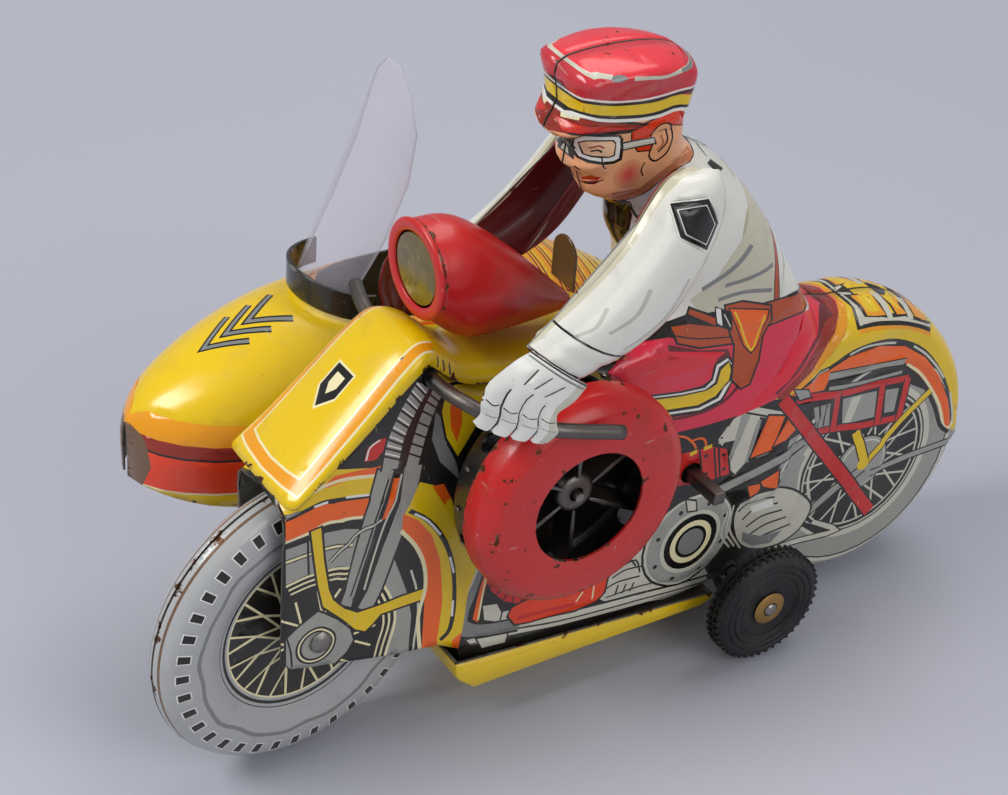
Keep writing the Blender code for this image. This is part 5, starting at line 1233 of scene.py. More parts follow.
# ---- arms and handlebar
ARM_TOP = through([(17.0, 14.5, 127.3), (19.5, 5.0, 127.6), (21.0, -1.0, 123.2), (23.0, -7.0, 117.2),
                   (24.6, -15.0, 111.8), (26.0, -23.5, 107.6), (26.8, -30.5, 104.0)], 6)
ARM_LOW = through([(17.0, 17.5, 126.0), (19.0, 19.6, 118.8), (21.0, 17.4, 112.2), (23.0, 12.0, 105.2),
                   (24.4, 5.6, 98.8), (25.4, -3.4, 94.8), (27.0, -17.2, 92.8)], 6)
ARM_LEAN = [(0.0, 0.0), (0.4, 2.5), (1.0, 9.0)]
ARM_BULGE = [(0.0, 1.0), (0.15, 3.0), (0.8, 3.4), (1.0, 2.4)]
ARM_LONG = 48.0
ARM_WIDE = 10.0
GLOVE_ROWS = (
    ((27.6, -17.0, 92.6), (29.8, -24.4, 99.2), (27.2, -30.4, 104.2)),
    ((29.6, -21.0, 91.6), (31.0, -28.6, 98.6), (28.0, -34.5, 103.8)),
    ((31.0, -25.4, 91.0), (31.0, -32.5, 96.8), (27.6, -39.0, 100.6)),
    ((32.0, -26.2, 88.8), (30.0, -33.8, 92.4), (27.0, -40.4, 95.6)),
    ((32.2, -25.9, 86.8), (29.4, -33.3, 89.4), (26.0, -39.8, 91.8)),
    ((31.0, -27.2, 84.2), (28.2, -34.6, 86.2), (24.2, -40.6, 88.8)),
)
GLOVE_LONG = 22.0
GLOVE_WIDE = 9.0


def curve_spot(curve, u):
    reach = min(max(u, 0.0), 1.0) * (len(curve) - 1)
    index = min(int(reach), len(curve) - 2)
    return Vector(curve[index]).lerp(Vector(curve[index + 1]), reach - index)


def arm_place(side, u, v):
    angle = math.pi * (v - 0.5)
    width = 0.45 if side > 0 else 0.34
    spot = curve_spot(ARM_LOW, u).lerp(curve_spot(ARM_TOP, u), 0.5 + width * math.sin(angle))
    spot.x += eased(ARM_BULGE, u) * (math.cos(angle) * 2.0 - 1.0)
    spot.x -= 0.4 * math.exp(-((u - 0.93) / 0.015) ** 2)
    if side < 0:
        lean = eased(ARM_LEAN, u)
        spot += Vector((-lean, lean / 3, -lean / 4))
    return side * spot.x, spot.y, spot.z


def glove_place(side, u, v):
    low, middle, top = (curve_spot(through([row[k] for row in GLOVE_ROWS], 4), u) for k in range(3))
    spot = low * (2 * (v - 0.5) * (v - 1)) + middle * (4 * v * (1 - v)) + top * (2 * v * (v - 0.5))
    groove = (1.0 - abs(math.sin(4 * math.pi * v))) ** 2
    spot.x -= 0.6 * groove * min(1.0, max(0.0, (u - 0.35) / 0.1))
    if side < 0:
        spot += Vector((-9.0, 3.0, -1.0))
    return side * spot.x, spot.y, spot.z


# Painted shade on the sleeve: the greyed shirt fills along both long edges and the darker shade fill along
# the lower edge make the sleeve darker towards its sides.
ARM_PRINT = """
fill sand 1 20 -46 180 -52 320 -58 440 -62 460 -100 300 -100 150 -100 0 -100; fill shade 1 60 -76 200 -80
320 -82 460 -84 460 -100 200 -100 40 -100; fill sand 1 0 100 200 100 340 100 460 100 460 88 300 84 120 78 0
74; line shade 0.7 1 240 -26 320 -34 400 -24; line shade 0.6 1 280 22 330 12 380 20 / 340 50 380 40 410 50;
trim ink white 0.35 0 84 11 132 64 180 25 185 -32 128 -33; trim ink white 0.2 0 101 9 136 47 170 19 174 -22
133 -23; line ink 0.45 1 404 -100 414 -40 416 20 408 100; line ink 0.3 1 476 -100 477 0 476 100; ring ink
44.2 -6 0 1.2; ring white 44.2 -6 0 0.85; ring ink 44.2 -6 0.2 0.42; line fold 0.35 0 2 -98 480 -98 / 2 98
480 98
"""
# The pale fill along the glove's lower edge is painted shade on the white glove.
GLOVE_PRINT = """
fill pale 1 0 -90 220 -90 220 -64 80 -68 0 -60; line ink 0.45 1 3 -90 4 0 3 90; line fold 0.5 1 13 -86 15 0
13 86; line ink 0.4 1 90 -45 130 -44 220 -45 / 80 0 130 1 220 0 / 90 45 130 44 220 45; line ink 0.35 1 30
-36 74 -24 / 28 6 70 9 / 30 44 72 34; line ink 0.3 1 124 -84 130 -66 124 -50 / 128 -40 134 -22 128 -6 / 128
6 134 22 128 40 / 124 50 130 66 124 84; line fold 0.3 1 166 -82 170 -66 166 -50 / 168 -40 172 -22 168 -6 /
168 6 172 22 168 40 / 166 50 170 66 166 82
"""


def arms(finishes):
    long, wide = ARM_LONG, ARM_WIDE
    sleeve = [(5.0, -wide), (long, -wide), (long, wide), (5.0, wide), (2.2, wide * 0.86), (0.7, wide * 0.55),
              (0.0, 0.0), (0.7, -wide * 0.55), (2.2, -wide * 0.86), (5.0, -wide)]
    reach, half = GLOVE_LONG, GLOVE_WIDE
    hand = [(0, -half), (reach - 1.0, -half), (reach, -half * 0.85)]
    for finger in range(1, 4):
        gap = half * (finger / 2 - 1)
        hand += [(reach, gap - 0.9), (reach - 0.6, gap - 0.2), (reach - 4.0, gap), (reach - 0.6, gap + 0.2),
                 (reach, gap + 0.9)]
    hand += [(reach, half * 0.85), (reach - 1.0, half), (0, half), (0, -half)]
    sheets = []
    for outline, table, place, length, across, ground in (
            (sleeve, ARM_PRINT, arm_place, long, wide, "shirt"),
            (hand, GLOVE_PRINT, glove_place, reach, half, "white")):
        cut = cut_sheet(split_line(outline, 1.2)[:-1], ground, printed(table), 1.2)
        sheets.append((cut, place, length, across))
    coats = [finishes["litho"], finishes["plum"]]
    for label, side in (("left", 1), ("right", -1)):
        parts = []
        for number, ((flat, faces, inks, rim), place, length, across) in enumerate(sheets):
            verts = [place(side, a / length, 0.5 + b / across / 2) for a, b in flat]
            made = add_piece(f"{label}_arm_part_{number}", verts, faces, coats, inks,
                             np.exp(-rim / 0.8) * 0.6, angle=50.0)
            if sum(face.normal.x * face.area for face in made.data.polygons) * side < 0:
                made.data.flip_normals()
            parts.append(thicken(made, 0.45, -1.0, 1))
        made = join(f"{label}_arm_sheet", parts)
        smooth(made, 50.0)
        hand_over(made, "frame", "cream_print", f"{label}_arm")


BAR_ROUTE = through([(-24.5, -38.6, 92.0), (-18.5, -40.4, 91.6), (-12.5, -41.2, 91.0),
                     (0.0, -41.2, 90.8), (12.5, -41.2, 91.0), (20.0, -39.6, 90.8),
                     (26.6, -33.6, 88.2), (30.6, -23.5, 86.0), (32.2, -11.0, 82.6)], 8)


def handlebar(sizes, finishes):
    made = sweep("handlebar_wire", BAR_ROUTE, sizes.bar_radius, finishes["dark_steel"], 18)
    hand_over(made, "frame", "bright_steel", "handlebar")


# ---- footboard
PAN_HALF = 13.9
PAN_SIDE = [(-33.6, 18.4), (-32.6, 13.6), (-28.0, 9.4), (30.8, 9.4), (33.2, 10.4), (33.6, 12.2)]


def footboard(finishes):
    """An open channel: bottom, two upturned sides and its ends."""
    side = through(PAN_SIDE[:3], 4)[:-1] + split_line(PAN_SIDE[2:4], 4.0)[:-1] + through(PAN_SIDE[3:], 3)
    section = [(-1.0, 1.0), (-1.0, 0.45), (-0.985, 0.12), (-0.94, 0.0), (-0.4, 0.0), (0.0, 0.0), (0.4, 0.0),
               (0.94, 0.0), (0.985, 0.12), (1.0, 0.45), (1.0, 1.0)]
    start, stop = Vector(side[0]), Vector(side[-1])
    spots, faces, worn = [], [], []
    for y, z in side:
        share = (y - start.x) / (stop.x - start.x)
        rim = start.y + (stop.y - start.y) * share
        for across, lift in section:
            spots.append((PAN_HALF * across, y, z + (rim - z) * lift))
            worn.append(0.7 if lift == 1.0 else 0.0)
    count = len(section)
    for row in range(len(side) - 1):
        for column in range(count - 1):
            first = row * count + column
            faces.append([first, first + count, first + count + 1, first + 1])
    made = add_piece("footboard_channel", spots, faces, [finishes["yellow"], finishes["inner"]], None, worn)
    low = min(made.data.polygons, key=lambda face: face.center.z)
    if low.normal.z > 0:
        made.data.flip_normals()
    thicken(made, 0.8, -1.0, 1)
    hand_over(made, "frame", "yellow_enamel", "footboard_pan")


# ---- siren drum
SIREN = (0.0, -13.7, 62.3)
SIREN_BACK = 13.4
SIREN_FRONT = 28.0
SIREN_R = 24.6
SIREN_HOLE = 12.7


def siren_case(finishes):
    back_profile = [(2.4, SIREN_BACK + 0.7), (21.6, SIREN_BACK + 0.7), (22.6, SIREN_BACK + 1.6),
                    (23.0, SIREN_BACK + 9.6), (23.7, SIREN_BACK + 9.6), (23.5, SIREN_BACK + 1.4),
                    (22.8, SIREN_BACK + 0.2), (21.4, SIREN_BACK), (2.4, SIREN_BACK)]
    back = lathe("siren_black_case", back_profile, finishes["black"], SIREN, 96, closed=True)
    cutters = []
    for index in range(6):
        lean = math.radians(20 + 60 * index)
        spot = (SIREN_BACK + 4.4, SIREN[1] + 23.2 * math.cos(lean), SIREN[2] + 23.2 * math.sin(lean))
        loop = [(2.3 * math.cos(a), 2.3 * math.sin(a)) for a in np.linspace(0, 2 * math.pi, 17)[:-1]]
        spots = [(x, y, z) for z in (-4.0, 4.0) for x, y in loop]
        faces = [list(range(16)), list(range(16, 32))]
        faces += [[i, (i + 1) % 16, 16 + (i + 1) % 16, 16 + i] for i in range(16)]
        turn = Matrix.Rotation(lean - math.pi / 2, 3, "X")
        placed = [turn @ Vector(s) + Vector(spot) for s in spots]
        cutters.append(tidy_normals(add_piece(f"vent_{index}", placed, faces, finishes["black"])))
    cutter = join("vents", cutters)
    cut = back.modifiers.new("vents", "BOOLEAN")
    cut.object = cutter
    cut.solver = "EXACT"
    settle(back)
    bpy.data.objects.remove(cutter)
    smooth(back, 35.0)
    hand_over(back, "frame", "black_enamel", "siren_back_shell")
    outer = [(SIREN_HOLE, SIREN_FRONT - 0.1), (SIREN_HOLE + 0.4, SIREN_FRONT), (20.4, SIREN_FRONT - 0.1),
             (21.6, SIREN_FRONT - 0.4), (23.9, SIREN_FRONT - 2.6), (SIREN_R, SIREN_FRONT - 4.2),
             (SIREN_R, SIREN_FRONT - 8.0)]
    inner = [(SIREN_R - 0.6, SIREN_FRONT - 8.0), (SIREN_R - 0.7, SIREN_FRONT - 4.4),
             (23.2, SIREN_FRONT - 3.0), (21.2, SIREN_FRONT - 1.0), (SIREN_HOLE, SIREN_FRONT - 0.7)]
    cover = lathe("siren_red_cover", outer + inner, finishes["red"], SIREN, 128, closed=True)
    values = []
    for vert in cover.data.vertices:
        spot = vert.co / MM - SHIFT
        radius = math.hypot(spot.y - SIREN[1], spot.z - SIREN[2])
        values.append(0.9 * math.exp(-abs(radius - 21.4) / 0.7) + math.exp(-(radius - SIREN_HOLE) / 0.5)
                      + 0.9 * math.exp(-abs(spot.x - SIREN_FRONT + 8.0) / 0.8))
    mark_worn(cover, values)
    crimps = ring_of("crimp_dots", finishes["steel"], "dome", 16, 23.72, (0.9, 0.5, 0.25),
                     (SIREN_BACK + 2.6, SIREN[1], SIREN[2]))
    hand_over(cover, "frame", "red_enamel", "siren_front_cover")
    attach(crimps, "frame")


def siren_rotor(sizes, finishes):
    middle = SIREN_BACK + 6.6
    parts = [lathe("rotor_hub", rounded([(1.5, middle - 3.2), (4.4, middle - 3.2), (4.4, middle + 2.4),
                                         (3.4, middle + 3.2), (1.5, middle + 3.2), (1.5, middle - 3.2)],
                                        0.4)[:-1], finishes["dark_steel"], SIREN, 32, closed=True)]
    for index in range(sizes.blades):
        turn = 2 * math.pi * index / sizes.blades
        matrix = Matrix.Rotation(turn, 3, "X")
        spots, faces = [], []
        rows = ((4.0, 0.42), (9.0, 0.62), (14.0, 0.62), (19.0, 0.5))
        for reach, half in rows:
            for x, y in ((-3.2, -half), (3.2, -half * 0.8), (3.2, half * 0.8), (-3.2, half)):
                spots.append(matrix @ Vector((x + middle, y + (0.25 if x > 0 else -0.1), reach))
                             + Vector(SIREN))
        for row in range(3):
            for side in range(4):
                after = (side + 1) % 4
                faces.append([row * 4 + side, row * 4 + after, row * 4 + 4 + after, row * 4 + 4 + side])
        faces += [[3, 2, 1, 0], [12, 13, 14, 15]]
        blade = tidy_normals(add_piece(f"blade_{index}", spots, faces, finishes["dark_steel"]))
        round_edges(blade, 0.12, 1)
        parts.append(blade)
    rotor = join("siren_rotor_blades", parts)
    smooth(rotor, 35.0)
    hand_over(rotor, "siren_rotor", "bright_steel", "siren_impeller")


# ---- front wheel
WHEEL_Y = -64.4
WHEEL_R = 33.6
WHEEL_YAW = math.radians(5.5)
TYRE_SIDE = [(2.0, 4.2), (5.0, 4.0), (12.0, 2.6), (17.0, 2.9), (20.1, 3.5), (22.0, 4.5), (24.0, 5.05),
             (26.0, 5.2), (28.5, 4.95), (31.0, 4.1), (32.4, 2.9), (33.2, 1.5), (33.6, 0.3)]


def wheel_print(sizes):
    shapes = []

    def rings(ink, inner, outer):
        shapes.extend((ink, loop) for loop in ring_shapes((0, 0), inner, outer, 96))

    rings("ink", 0, 19.4)
    rings("cream", 17.7, 18.1)
    rings("silver", 18.1, 18.7)
    shapes.extend(("cream", loop) for loop in spoke_shapes((0, 0), 5.6, 17.7, 28, 0.55))
    rings("fold", 0, 5.8)
    rings("ink", 5.2, 5.6)
    rings("silver", 3.8, 4.4)
    rings("ink", 20.0, 20.2)
    wavy = []
    for step in range(72):
        turn = 2 * math.pi * step / 72
        reach = 25.6 + 0.35 * math.sin(9 * turn) + 0.2 * math.sin(17 * turn)
        wavy.append((reach * math.cos(turn), reach * math.sin(turn)))
    shapes.extend(("fold", q) for q in stroke(wavy, 0.9, True))
    rings("rustline", 33.0, 33.25)
    count = sizes.treads
    for index in range(count):
        turn = 2 * math.pi * index / count
        matrix = Matrix.Rotation(turn, 2)
        for ink, long, half in (("white", 1.5, 1.1), ("ink", 1.25, 0.85)):
            loop = [(29.4 - long, -half), (29.4 + long, -half * 1.1), (29.4 + long, half * 1.1),
                    (29.4 - long, half)]
            shapes.append((ink, [tuple(matrix @ Vector(p)) for p in loop]))
    return shapes


def front_wheel(sizes, finishes):
    outline = arc((0, 0), WHEEL_R, 0, 360, 128)[:-1]
    shapes = wheel_print(sizes) + [("hole", arc((0, 0), 1.9, 0, 360, 24)[:-1])]
    loose = []
    for radius in (31.6, 32.0, 32.8, 33.4, 33.52):
        loose += arc((0, 0), radius, 1.4, 361.4, 128)[:-1]
    flat, faces, inks, rim = cut_sheet(outline, "silver", shapes, 1.3, loose)
    turn = Matrix.Rotation(WHEEL_YAW, 3, "Z")
    tall = fine_table(TYRE_SIDE)
    height = np.interp(np.hypot(*flat.T), [p[0] for p in tall], [p[1] for p in tall])
    worn = np.exp(-rim / 0.6) * 0.9
    for label, side in (("left", 1), ("right", -1)):
        verts = [turn @ Vector((side * h, a, b)) + Vector((0, WHEEL_Y, WHEEL_R))
                 for h, (a, b) in zip(height, flat)]
        order = faces if side > 0 else faces[:, ::-1]
        made = add_piece(f"front_wheel_{label}_pressing", verts, order,
                         [finishes["litho"], finishes["inner"]], inks, worn, angle=60.0)
        thicken(made, 0.4, -1.0, 1)
        hand_over(made, "front_wheel", "silver_tyre_print", f"front_wheel_{label}_half")
    pin = rounded([(0.0, 11.1), (1.5, 10.9), (2.7, 10.1), (2.7, 9.8), (1.4, 9.8), (1.4, -9.8), (2.7, -9.8),
                   (2.7, -10.1), (1.5, -10.9), (0.0, -11.1)], 0.25)
    made = lathe("front_wheel_rivet", pin, finishes["steel"], (0, WHEEL_Y, WHEEL_R), 32, turn)
    hand_over(made, "frame", "bright_steel", "front_axle")


# ---- rubber wheels
RUBBER_R = 13.8


def rubber_wheel(name, body, node, centre, sizes, finishes):
    half = 2.85
    face = [(1.75, half - 0.7), (6.4, half - 0.7), (6.8, half - 0.5), (7.2, half - 0.7), (7.9, half - 0.6),
            (8.3, half - 0.1), (9.2, half), (9.5, half - 0.25), (9.8, half), (10.7, half),
            (11.0, half - 0.25), (11.3, half), (12.1, half - 0.1), (12.8, half - 0.6), (13.2, half - 1.1),
            (RUBBER_R - 0.25, half - 1.5)]
    tread = [(RUBBER_R - 0.25, half - 1.5), (RUBBER_R - 0.3, 0.9), (RUBBER_R - 0.7, 0.75),
             (RUBBER_R - 0.7, 0.45), (RUBBER_R - 0.3, 0.3)]
    half_profile = face + tread[1:]
    far_side = [(r, -h) for r, h in reversed(tread)] + [(r, -h) for r, h in reversed(face[:-1])]
    profile = half_profile + far_side
    tyre = lathe(name + "_tyre", profile, finishes["rubber"], centre, 72, closed=True)
    parts = [tyre]
    for side in (-1, 1):
        parts.append(ring_of(f"{name}_ribs_{side}", finishes["rubber"], "block", sizes.ribs, RUBBER_R - 0.35,
                             (1.5, 0.75, 0.65), (centre[0] + side * 1.25, centre[1], centre[2]),
                             side * 0.35))
    made = join(name + "_rubber", parts)
    smooth(made, 35.0)
    hand_over(made, body, "black_rubber", node)


def drive_wheels(sizes, finishes):
    for label, side in (("left", 1), ("right", -1)):
        rubber_wheel(f"{label}_drive", "drive_wheels", f"{label}_drive_wheel",
                     (side * 22.85, 40.3, RUBBER_R), sizes, finishes)
        washer = lathe(f"{label}_brass_washer", [(s[0], side * (25.4 + s[1])) for s in (
            (1.75, 0.5), (3.0, 0.5), (3.5, 0.4), (4.0, 0.1), (4.0, 0.0), (1.75, 0.0))],
            finishes["brass"], (0, 40.3, RUBBER_R), 40, closed=True)
        hand_over(washer, "drive_wheels", "brass", f"{label}_hub_washer")
    end = 26.5
    rod = rounded([(0.0, end), (1.1, end - 0.05), (1.6, end - 0.5), (1.6, -end + 0.5), (1.1, -end + 0.05),
                   (0.0, -end)], 0.2)
    axle = lathe("drive_axle_rod", rod, finishes["steel"], (0, 40.3, RUBBER_R), 28)
    hand_over(axle, "drive_wheels", "bright_steel", "drive_axle")


def winding_shaft(finishes):
    low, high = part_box("winding_arbor")
    start = (low.x / MM) - SHIFT.x
    centre = (0, 24.3, 47.4)
    round_rod = rounded([(0.0, start), (1.7, start), (1.9, start + 0.3), (1.9, 10.6), (1.5, 11.2),
                         (0.0, 11.2)], 0.2)
    rod = lathe("arbor_round", round_rod, finishes["dark_steel"], centre, 28)
    half = 1.5
    loop = [(centre[1] + a * half, centre[2] + b * half) for a, b in
            ((-0.8, -1), (0.8, -1), (1, -0.8), (1, 0.8), (0.8, 1), (-0.8, 1), (-1, 0.8), (-1, -0.8))]
    square = plate("arbor_square", loop, 10.0, 22.4, finishes["dark_steel"], "x", 0.25)
    made = join("winding_shaft_rod", [rod, square])
    smooth(made, 30.0)
    hand_over(made, "winding_key_shaft", "bright_steel", "winding_arbor")


# ---- sidecar
SIDECAR_X = -38.0
SIDECAR_HALF = 23.0
SIDECAR_NOSE = -84.0
SIDE_LENGTH = 130.0
SIDE_TOP = [(0.0, 64.0), (0.06, 71.2), (0.2, 79.5), (0.36, 83.2), (0.6, 82.4), (0.8, 77.5), (1.0, 61.0)]
SIDE_LOW = [(0.0, 51.0), (0.12, 47.0), (0.3, 45.5), (1.0, 44.0)]
SIDE_WIDTH = [(0.0, 0.05), (0.012, 0.24), (0.05, 0.5), (0.12, 0.73), (0.25, 0.94), (0.4, 1.0),
              (0.65, 0.98), (0.85, 0.8), (0.95, 0.56), (1.0, 0.1)]
AROUND = 76.0


def sidecar_section(s):
    top, low = eased(SIDE_TOP, s), eased(SIDE_LOW, s)
    return top, low, SIDECAR_HALF * eased(SIDE_WIDTH, s), low + (top - low) * 0.42


def sidecar_place(s, v):
    s = min(max(s, 0.0), 1.0)
    top, low, half, waist = sidecar_section(s)
    if v < 0.15 or v > 0.85:
        part = max(0.0, v / 0.15 if v < 0.15 else (1.0 - v) / 0.15)
        across = half * (-1 if v < 0.15 else 1) * (0.9 + 0.1 * part)
        return SIDECAR_X + across, SIDECAR_NOSE + SIDE_LENGTH * s, low + (waist - low) * part
    angle = math.pi * (v - 0.15) / 0.7
    return (SIDECAR_X - half * math.cos(angle), SIDECAR_NOSE + SIDE_LENGTH * s,
            waist + (top - waist) * math.sin(angle))


def sheet_spot(s, z, side):
    """Place on the flat sidecar sheet of a height on its near (1) or far (-1) side."""
    top, low, half, waist = sidecar_section(s)
    if z < waist:
        v = 0.15 * max(0.0, (z - low) / (waist - low))
    else:
        v = 0.15 + 0.7 * math.asin(min(1.0, (z - waist) / (top - waist))) / math.pi
    return s * SIDE_LENGTH, AROUND * (1.0 - v if side > 0 else v)


def deck_spot(x, y):
    """Place on the flat sidecar sheet of a point in plan on its upper skin."""
    s = (y - SIDECAR_NOSE) / SIDE_LENGTH
    half = sidecar_section(s)[2]
    lean = math.acos(max(-1.0, min(1.0, -(x - SIDECAR_X) / half)))
    return s * SIDE_LENGTH, AROUND * (0.15 + 0.7 * lean / math.pi)


def sidecar_print():
    shapes = []
    stations = [0.0, 0.01, 0.03, 0.06, 0.1, 0.16, 0.24, 0.34, 0.46, 0.6, 0.74, 0.86, 0.94, 1.0]
    for side in (1, -1):
        def belt(ink, low, high):
            upper = [sheet_spot(s, high(s), side) for s in stations]
            lower = [sheet_spot(s, low(s), side) for s in stations]
            shapes.append((ink, upper + lower[::-1]))

        belt("flame", lambda s: 40.0, lambda s: 61.5 - 3.0 * s)
        belt("brick", lambda s: 60.2 - 3.0 * s, lambda s: 63.0 - 3.0 * s)
        belt("amber", lambda s: 63.0 - 3.0 * s, lambda s: 67.5 - 4.0 * s)
        belt("ink", lambda s: 59.7 - 3.0 * s, lambda s: 60.2 - 3.0 * s)
        belt("yellow", lambda s: 40.0, lambda s: 50.5 - 2.0 * s)
        belt("cream", lambda s: 50.5 - 2.0 * s, lambda s: 51.0 - 2.0 * s)
        nose = [sheet_spot(s, z, side) for s, z in ((0.0, 66.0), (0.016, 62.0), (0.02, 56.0), (0.012, 50.0),
                                                   (0.0, 50.0))]
        shapes.append(("rustline", nose))
    for ink, low, high in (("amber", 0.0, 1.3), ("orange", 1.3, 1.8)):
        loop = []
        for turn in range(48):
            a = 2 * math.pi * turn / 48
            loop.append(deck_spot(SIDECAR_X + (13.5 + (low + high) / 2) * math.cos(a),
                                  -17.0 + (22.0 + (low + high) / 2) * math.sin(a)))
        shapes += [(ink, quad) for quad in stroke(loop, high - low, True)]
    arrow = through(((-43, -58), (-38, -66), (-33, -58)), 1)
    for shift in (0.0, 5.0, 10.0):
        curve = [deck_spot(x, y + shift) for x, y in split_line(arrow, 2.0)]
        shapes += [("ink", quad) for quad in stroke(curve, 1.5)]
        shapes += [("fold", quad) for quad in stroke(curve, 0.7)]
    for index in range(5):
        low, high = 7.6 + index * 3.4, 10.6 + index * 3.4
        for ink, inset in (("brick", 0.0), ("amber", 0.45)):
            loop = [(-51 + inset, low + inset), (-25 - inset, low + inset), (-24.4 - inset, high - inset),
                    (-51.6 + inset, high - inset)]
            shapes.append((ink, [deck_spot(x, y) for x, y in split_line(loop + loop[:1], 2.0)[:-1]]))
        gleam = [deck_spot(x, low + 1.0) for x in (-49, -44, -38, -32, -27)]
        shapes += [("yellow", quad) for quad in stroke(gleam, 0.7)]
    for y in (27.0, 29.0):
        line = [deck_spot(x, y + 0.006 * (x + 38) ** 2) for x in range(-56, -19, 4)]
        shapes += [("brick", quad) for quad in stroke(line, 0.6)]
    shapes += [("ink", loop) for loop in ring_shapes(deck_spot(-38, 34), 2.1, 2.6, 24)]
    return shapes


def sidecar_body(finishes):
    long, around = SIDE_LENGTH, AROUND
    loop = [(0, 0), (long, 0), (long, around), (0, around), (0, 0)]
    outline = split_line(loop, 2.2)[:-1]
    hole = []
    for turn in range(64):
        a = 2 * math.pi * turn / 64
        hole.append(deck_spot(SIDECAR_X + 13.5 * math.cos(a), -17.0 + 22.0 * math.sin(a)))
    loose = [(s, v) for s in (0.3, 0.7, 1.2, 1.8, 2.6, 3.6, 4.8) for v in np.arange(1.0, around, 1.6)]
    flat, faces, inks, _ = cut_sheet(outline, "yellow", sidecar_print() + [("hole", hole)], 2.0, loose)
    verts = [sidecar_place(a / long, b / around) for a, b in flat]
    mouth = gap_to(flat, hole + hole[:1])
    low_rim = np.minimum(flat[:, 1], around - flat[:, 1])
    worn = np.exp(-mouth / 0.7) * 0.9 + np.exp(-low_rim / 0.9) * 0.8 + np.exp(-flat[:, 0] / 1.6) * 0.7
    made = add_piece("sidecar_body", verts, faces, [finishes["litho"], finishes["inner"]], inks, worn,
                     angle=50.0)
    face_up(made)
    thicken(made, 0.5, -1.0, 1)
    hand_over(made, "frame", "yellow_enamel", "sidecar_shell")


def sidecar_fittings(sizes, finishes):
    x = SIDECAR_X
    fold = [(4.0, 0.0), (4.0, 7.6), (3.6, 8.0), (-9.0, 8.0), (-9.0, 8.7), (4.3, 8.7), (4.7, 9.2),
            (8.0, 24.0), (8.7, 24.0), (4.9, 8.0), (4.7, 7.4), (4.7, 0.0)]
    seat = plate("sidecar_bench", [(-8.0 + a, 47.4 + b) for a, b in fold], x - 11.0, x + 11.0,
                 finishes["yellow"], "x", 0.08)
    hand_over(seat, "frame", "yellow_enamel", "sidecar_seat")
    for node in ("sidecar_front_strut", "sidecar_rear_strut", "sidecar_wheel_leg"):
        low, high = (Vector(corner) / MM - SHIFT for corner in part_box(node))
        loop = [(low.y, low.z), (high.y, low.z), (high.y, high.z), (low.y, high.z)]
        if node == "sidecar_wheel_leg":
            middle = (low.y + high.y) / 2
            loop = arc((middle, low.z + 4.0), 4.0, 180, 360, 14) + [(high.y, high.z), (low.y, high.z)]
        bar = plate(node + "_bar", loop, low.x, high.x, finishes["dark_steel"], "x", 0.2)
        hand_over(bar, "frame", "bright_steel", node)
    rubber_wheel("sidecar", "sidecar_roller", "sidecar_wheel", (-67.0, 20.0, RUBBER_R), sizes, finishes)
    pin = rounded([(0.0, 11.2), (2.4, 11.1), (2.9, 10.8), (2.9, 10.4), (1.6, 10.4), (1.6, -4.0), (2.9, -4.0),
                   (2.9, -4.4), (2.4, -4.7), (0.0, -4.8)], 0.15)
    axle = lathe("sidecar_axle_pin", pin, finishes["steel"], (-66.0, 20.0, RUBBER_R), 28)
    hand_over(axle, "frame", "bright_steel", "sidecar_axle")


def band_point(turn, radius):
    return SIDECAR_X + radius * math.sin(turn), -30.0 - radius * 1.15 * math.cos(turn)


def sidecar_top(x, y):
    top, low, half, waist = sidecar_section((y - SIDECAR_NOSE) / SIDE_LENGTH)
    return waist + (top - waist) * math.sqrt(max(0.0, 1.0 - ((x - SIDECAR_X) / half) ** 2))


SCREEN_SIDE = [(0.0, 0.84), (0.3, 1.0), (0.55, 1.0), (0.75, 0.84), (0.9, 0.55), (1.0, 0.16)]


def band_place(u, v):
    x, y = band_point(math.radians(-78 + 156 * u), 13.2)
    return x, y, sidecar_top(x, y) + 1.6 + 6.2 * v


def screen_place(u, v):
    x, y = band_point(math.radians(62) * (2 * u - 1) * along(SCREEN_SIDE, v), 12.3)
    rise = 49.0 * v
    return x, y + 0.42 * rise, 83.4 + rise


def windscreen(finishes):
    band = mapped("windscreen_clamp", 64, 8, band_place, finishes["black"])
    thicken(band, 0.7, 0.0)
    round_edges(band, 0.12, 2)
    hand_over(band, "frame", "black_enamel", "windscreen_band")
    columns, rows = 40, 48
    screen = mapped("windscreen_sheet", columns, rows, screen_place, finishes["clear"])
    worn = []
    for j in range(rows + 1):
        for i in range(columns + 1):
            away = min(i / columns, 1 - i / columns, 1 - j / rows)
            worn.append(math.exp(-away / 0.012))
    mark_worn(screen, worn)
    thicken(screen, 0.35, 0.0)
    hand_over(screen, "frame", "clear_celluloid", "windscreen")


# ---- clockwork and other nodes kept as they are
BRASS_NODES = ("great_wheel", "first_wheel", "second_wheel", "third_wheel")
BLUED_NODES = ("mainspring", "click_spring")


def motor_works(finishes):
    for name, node in NODES.items():
        if node.hide_render:
            continue
        key = "brass" if name in BRASS_NODES else "blued" if name in BLUED_NODES else "steel"
        if name == "sidecar_floor":
            key = "inner"
        if not node.data.materials:
            node.data.materials.append(finishes[key])
        for slot in node.material_slots:
            slot.material = finishes[key]


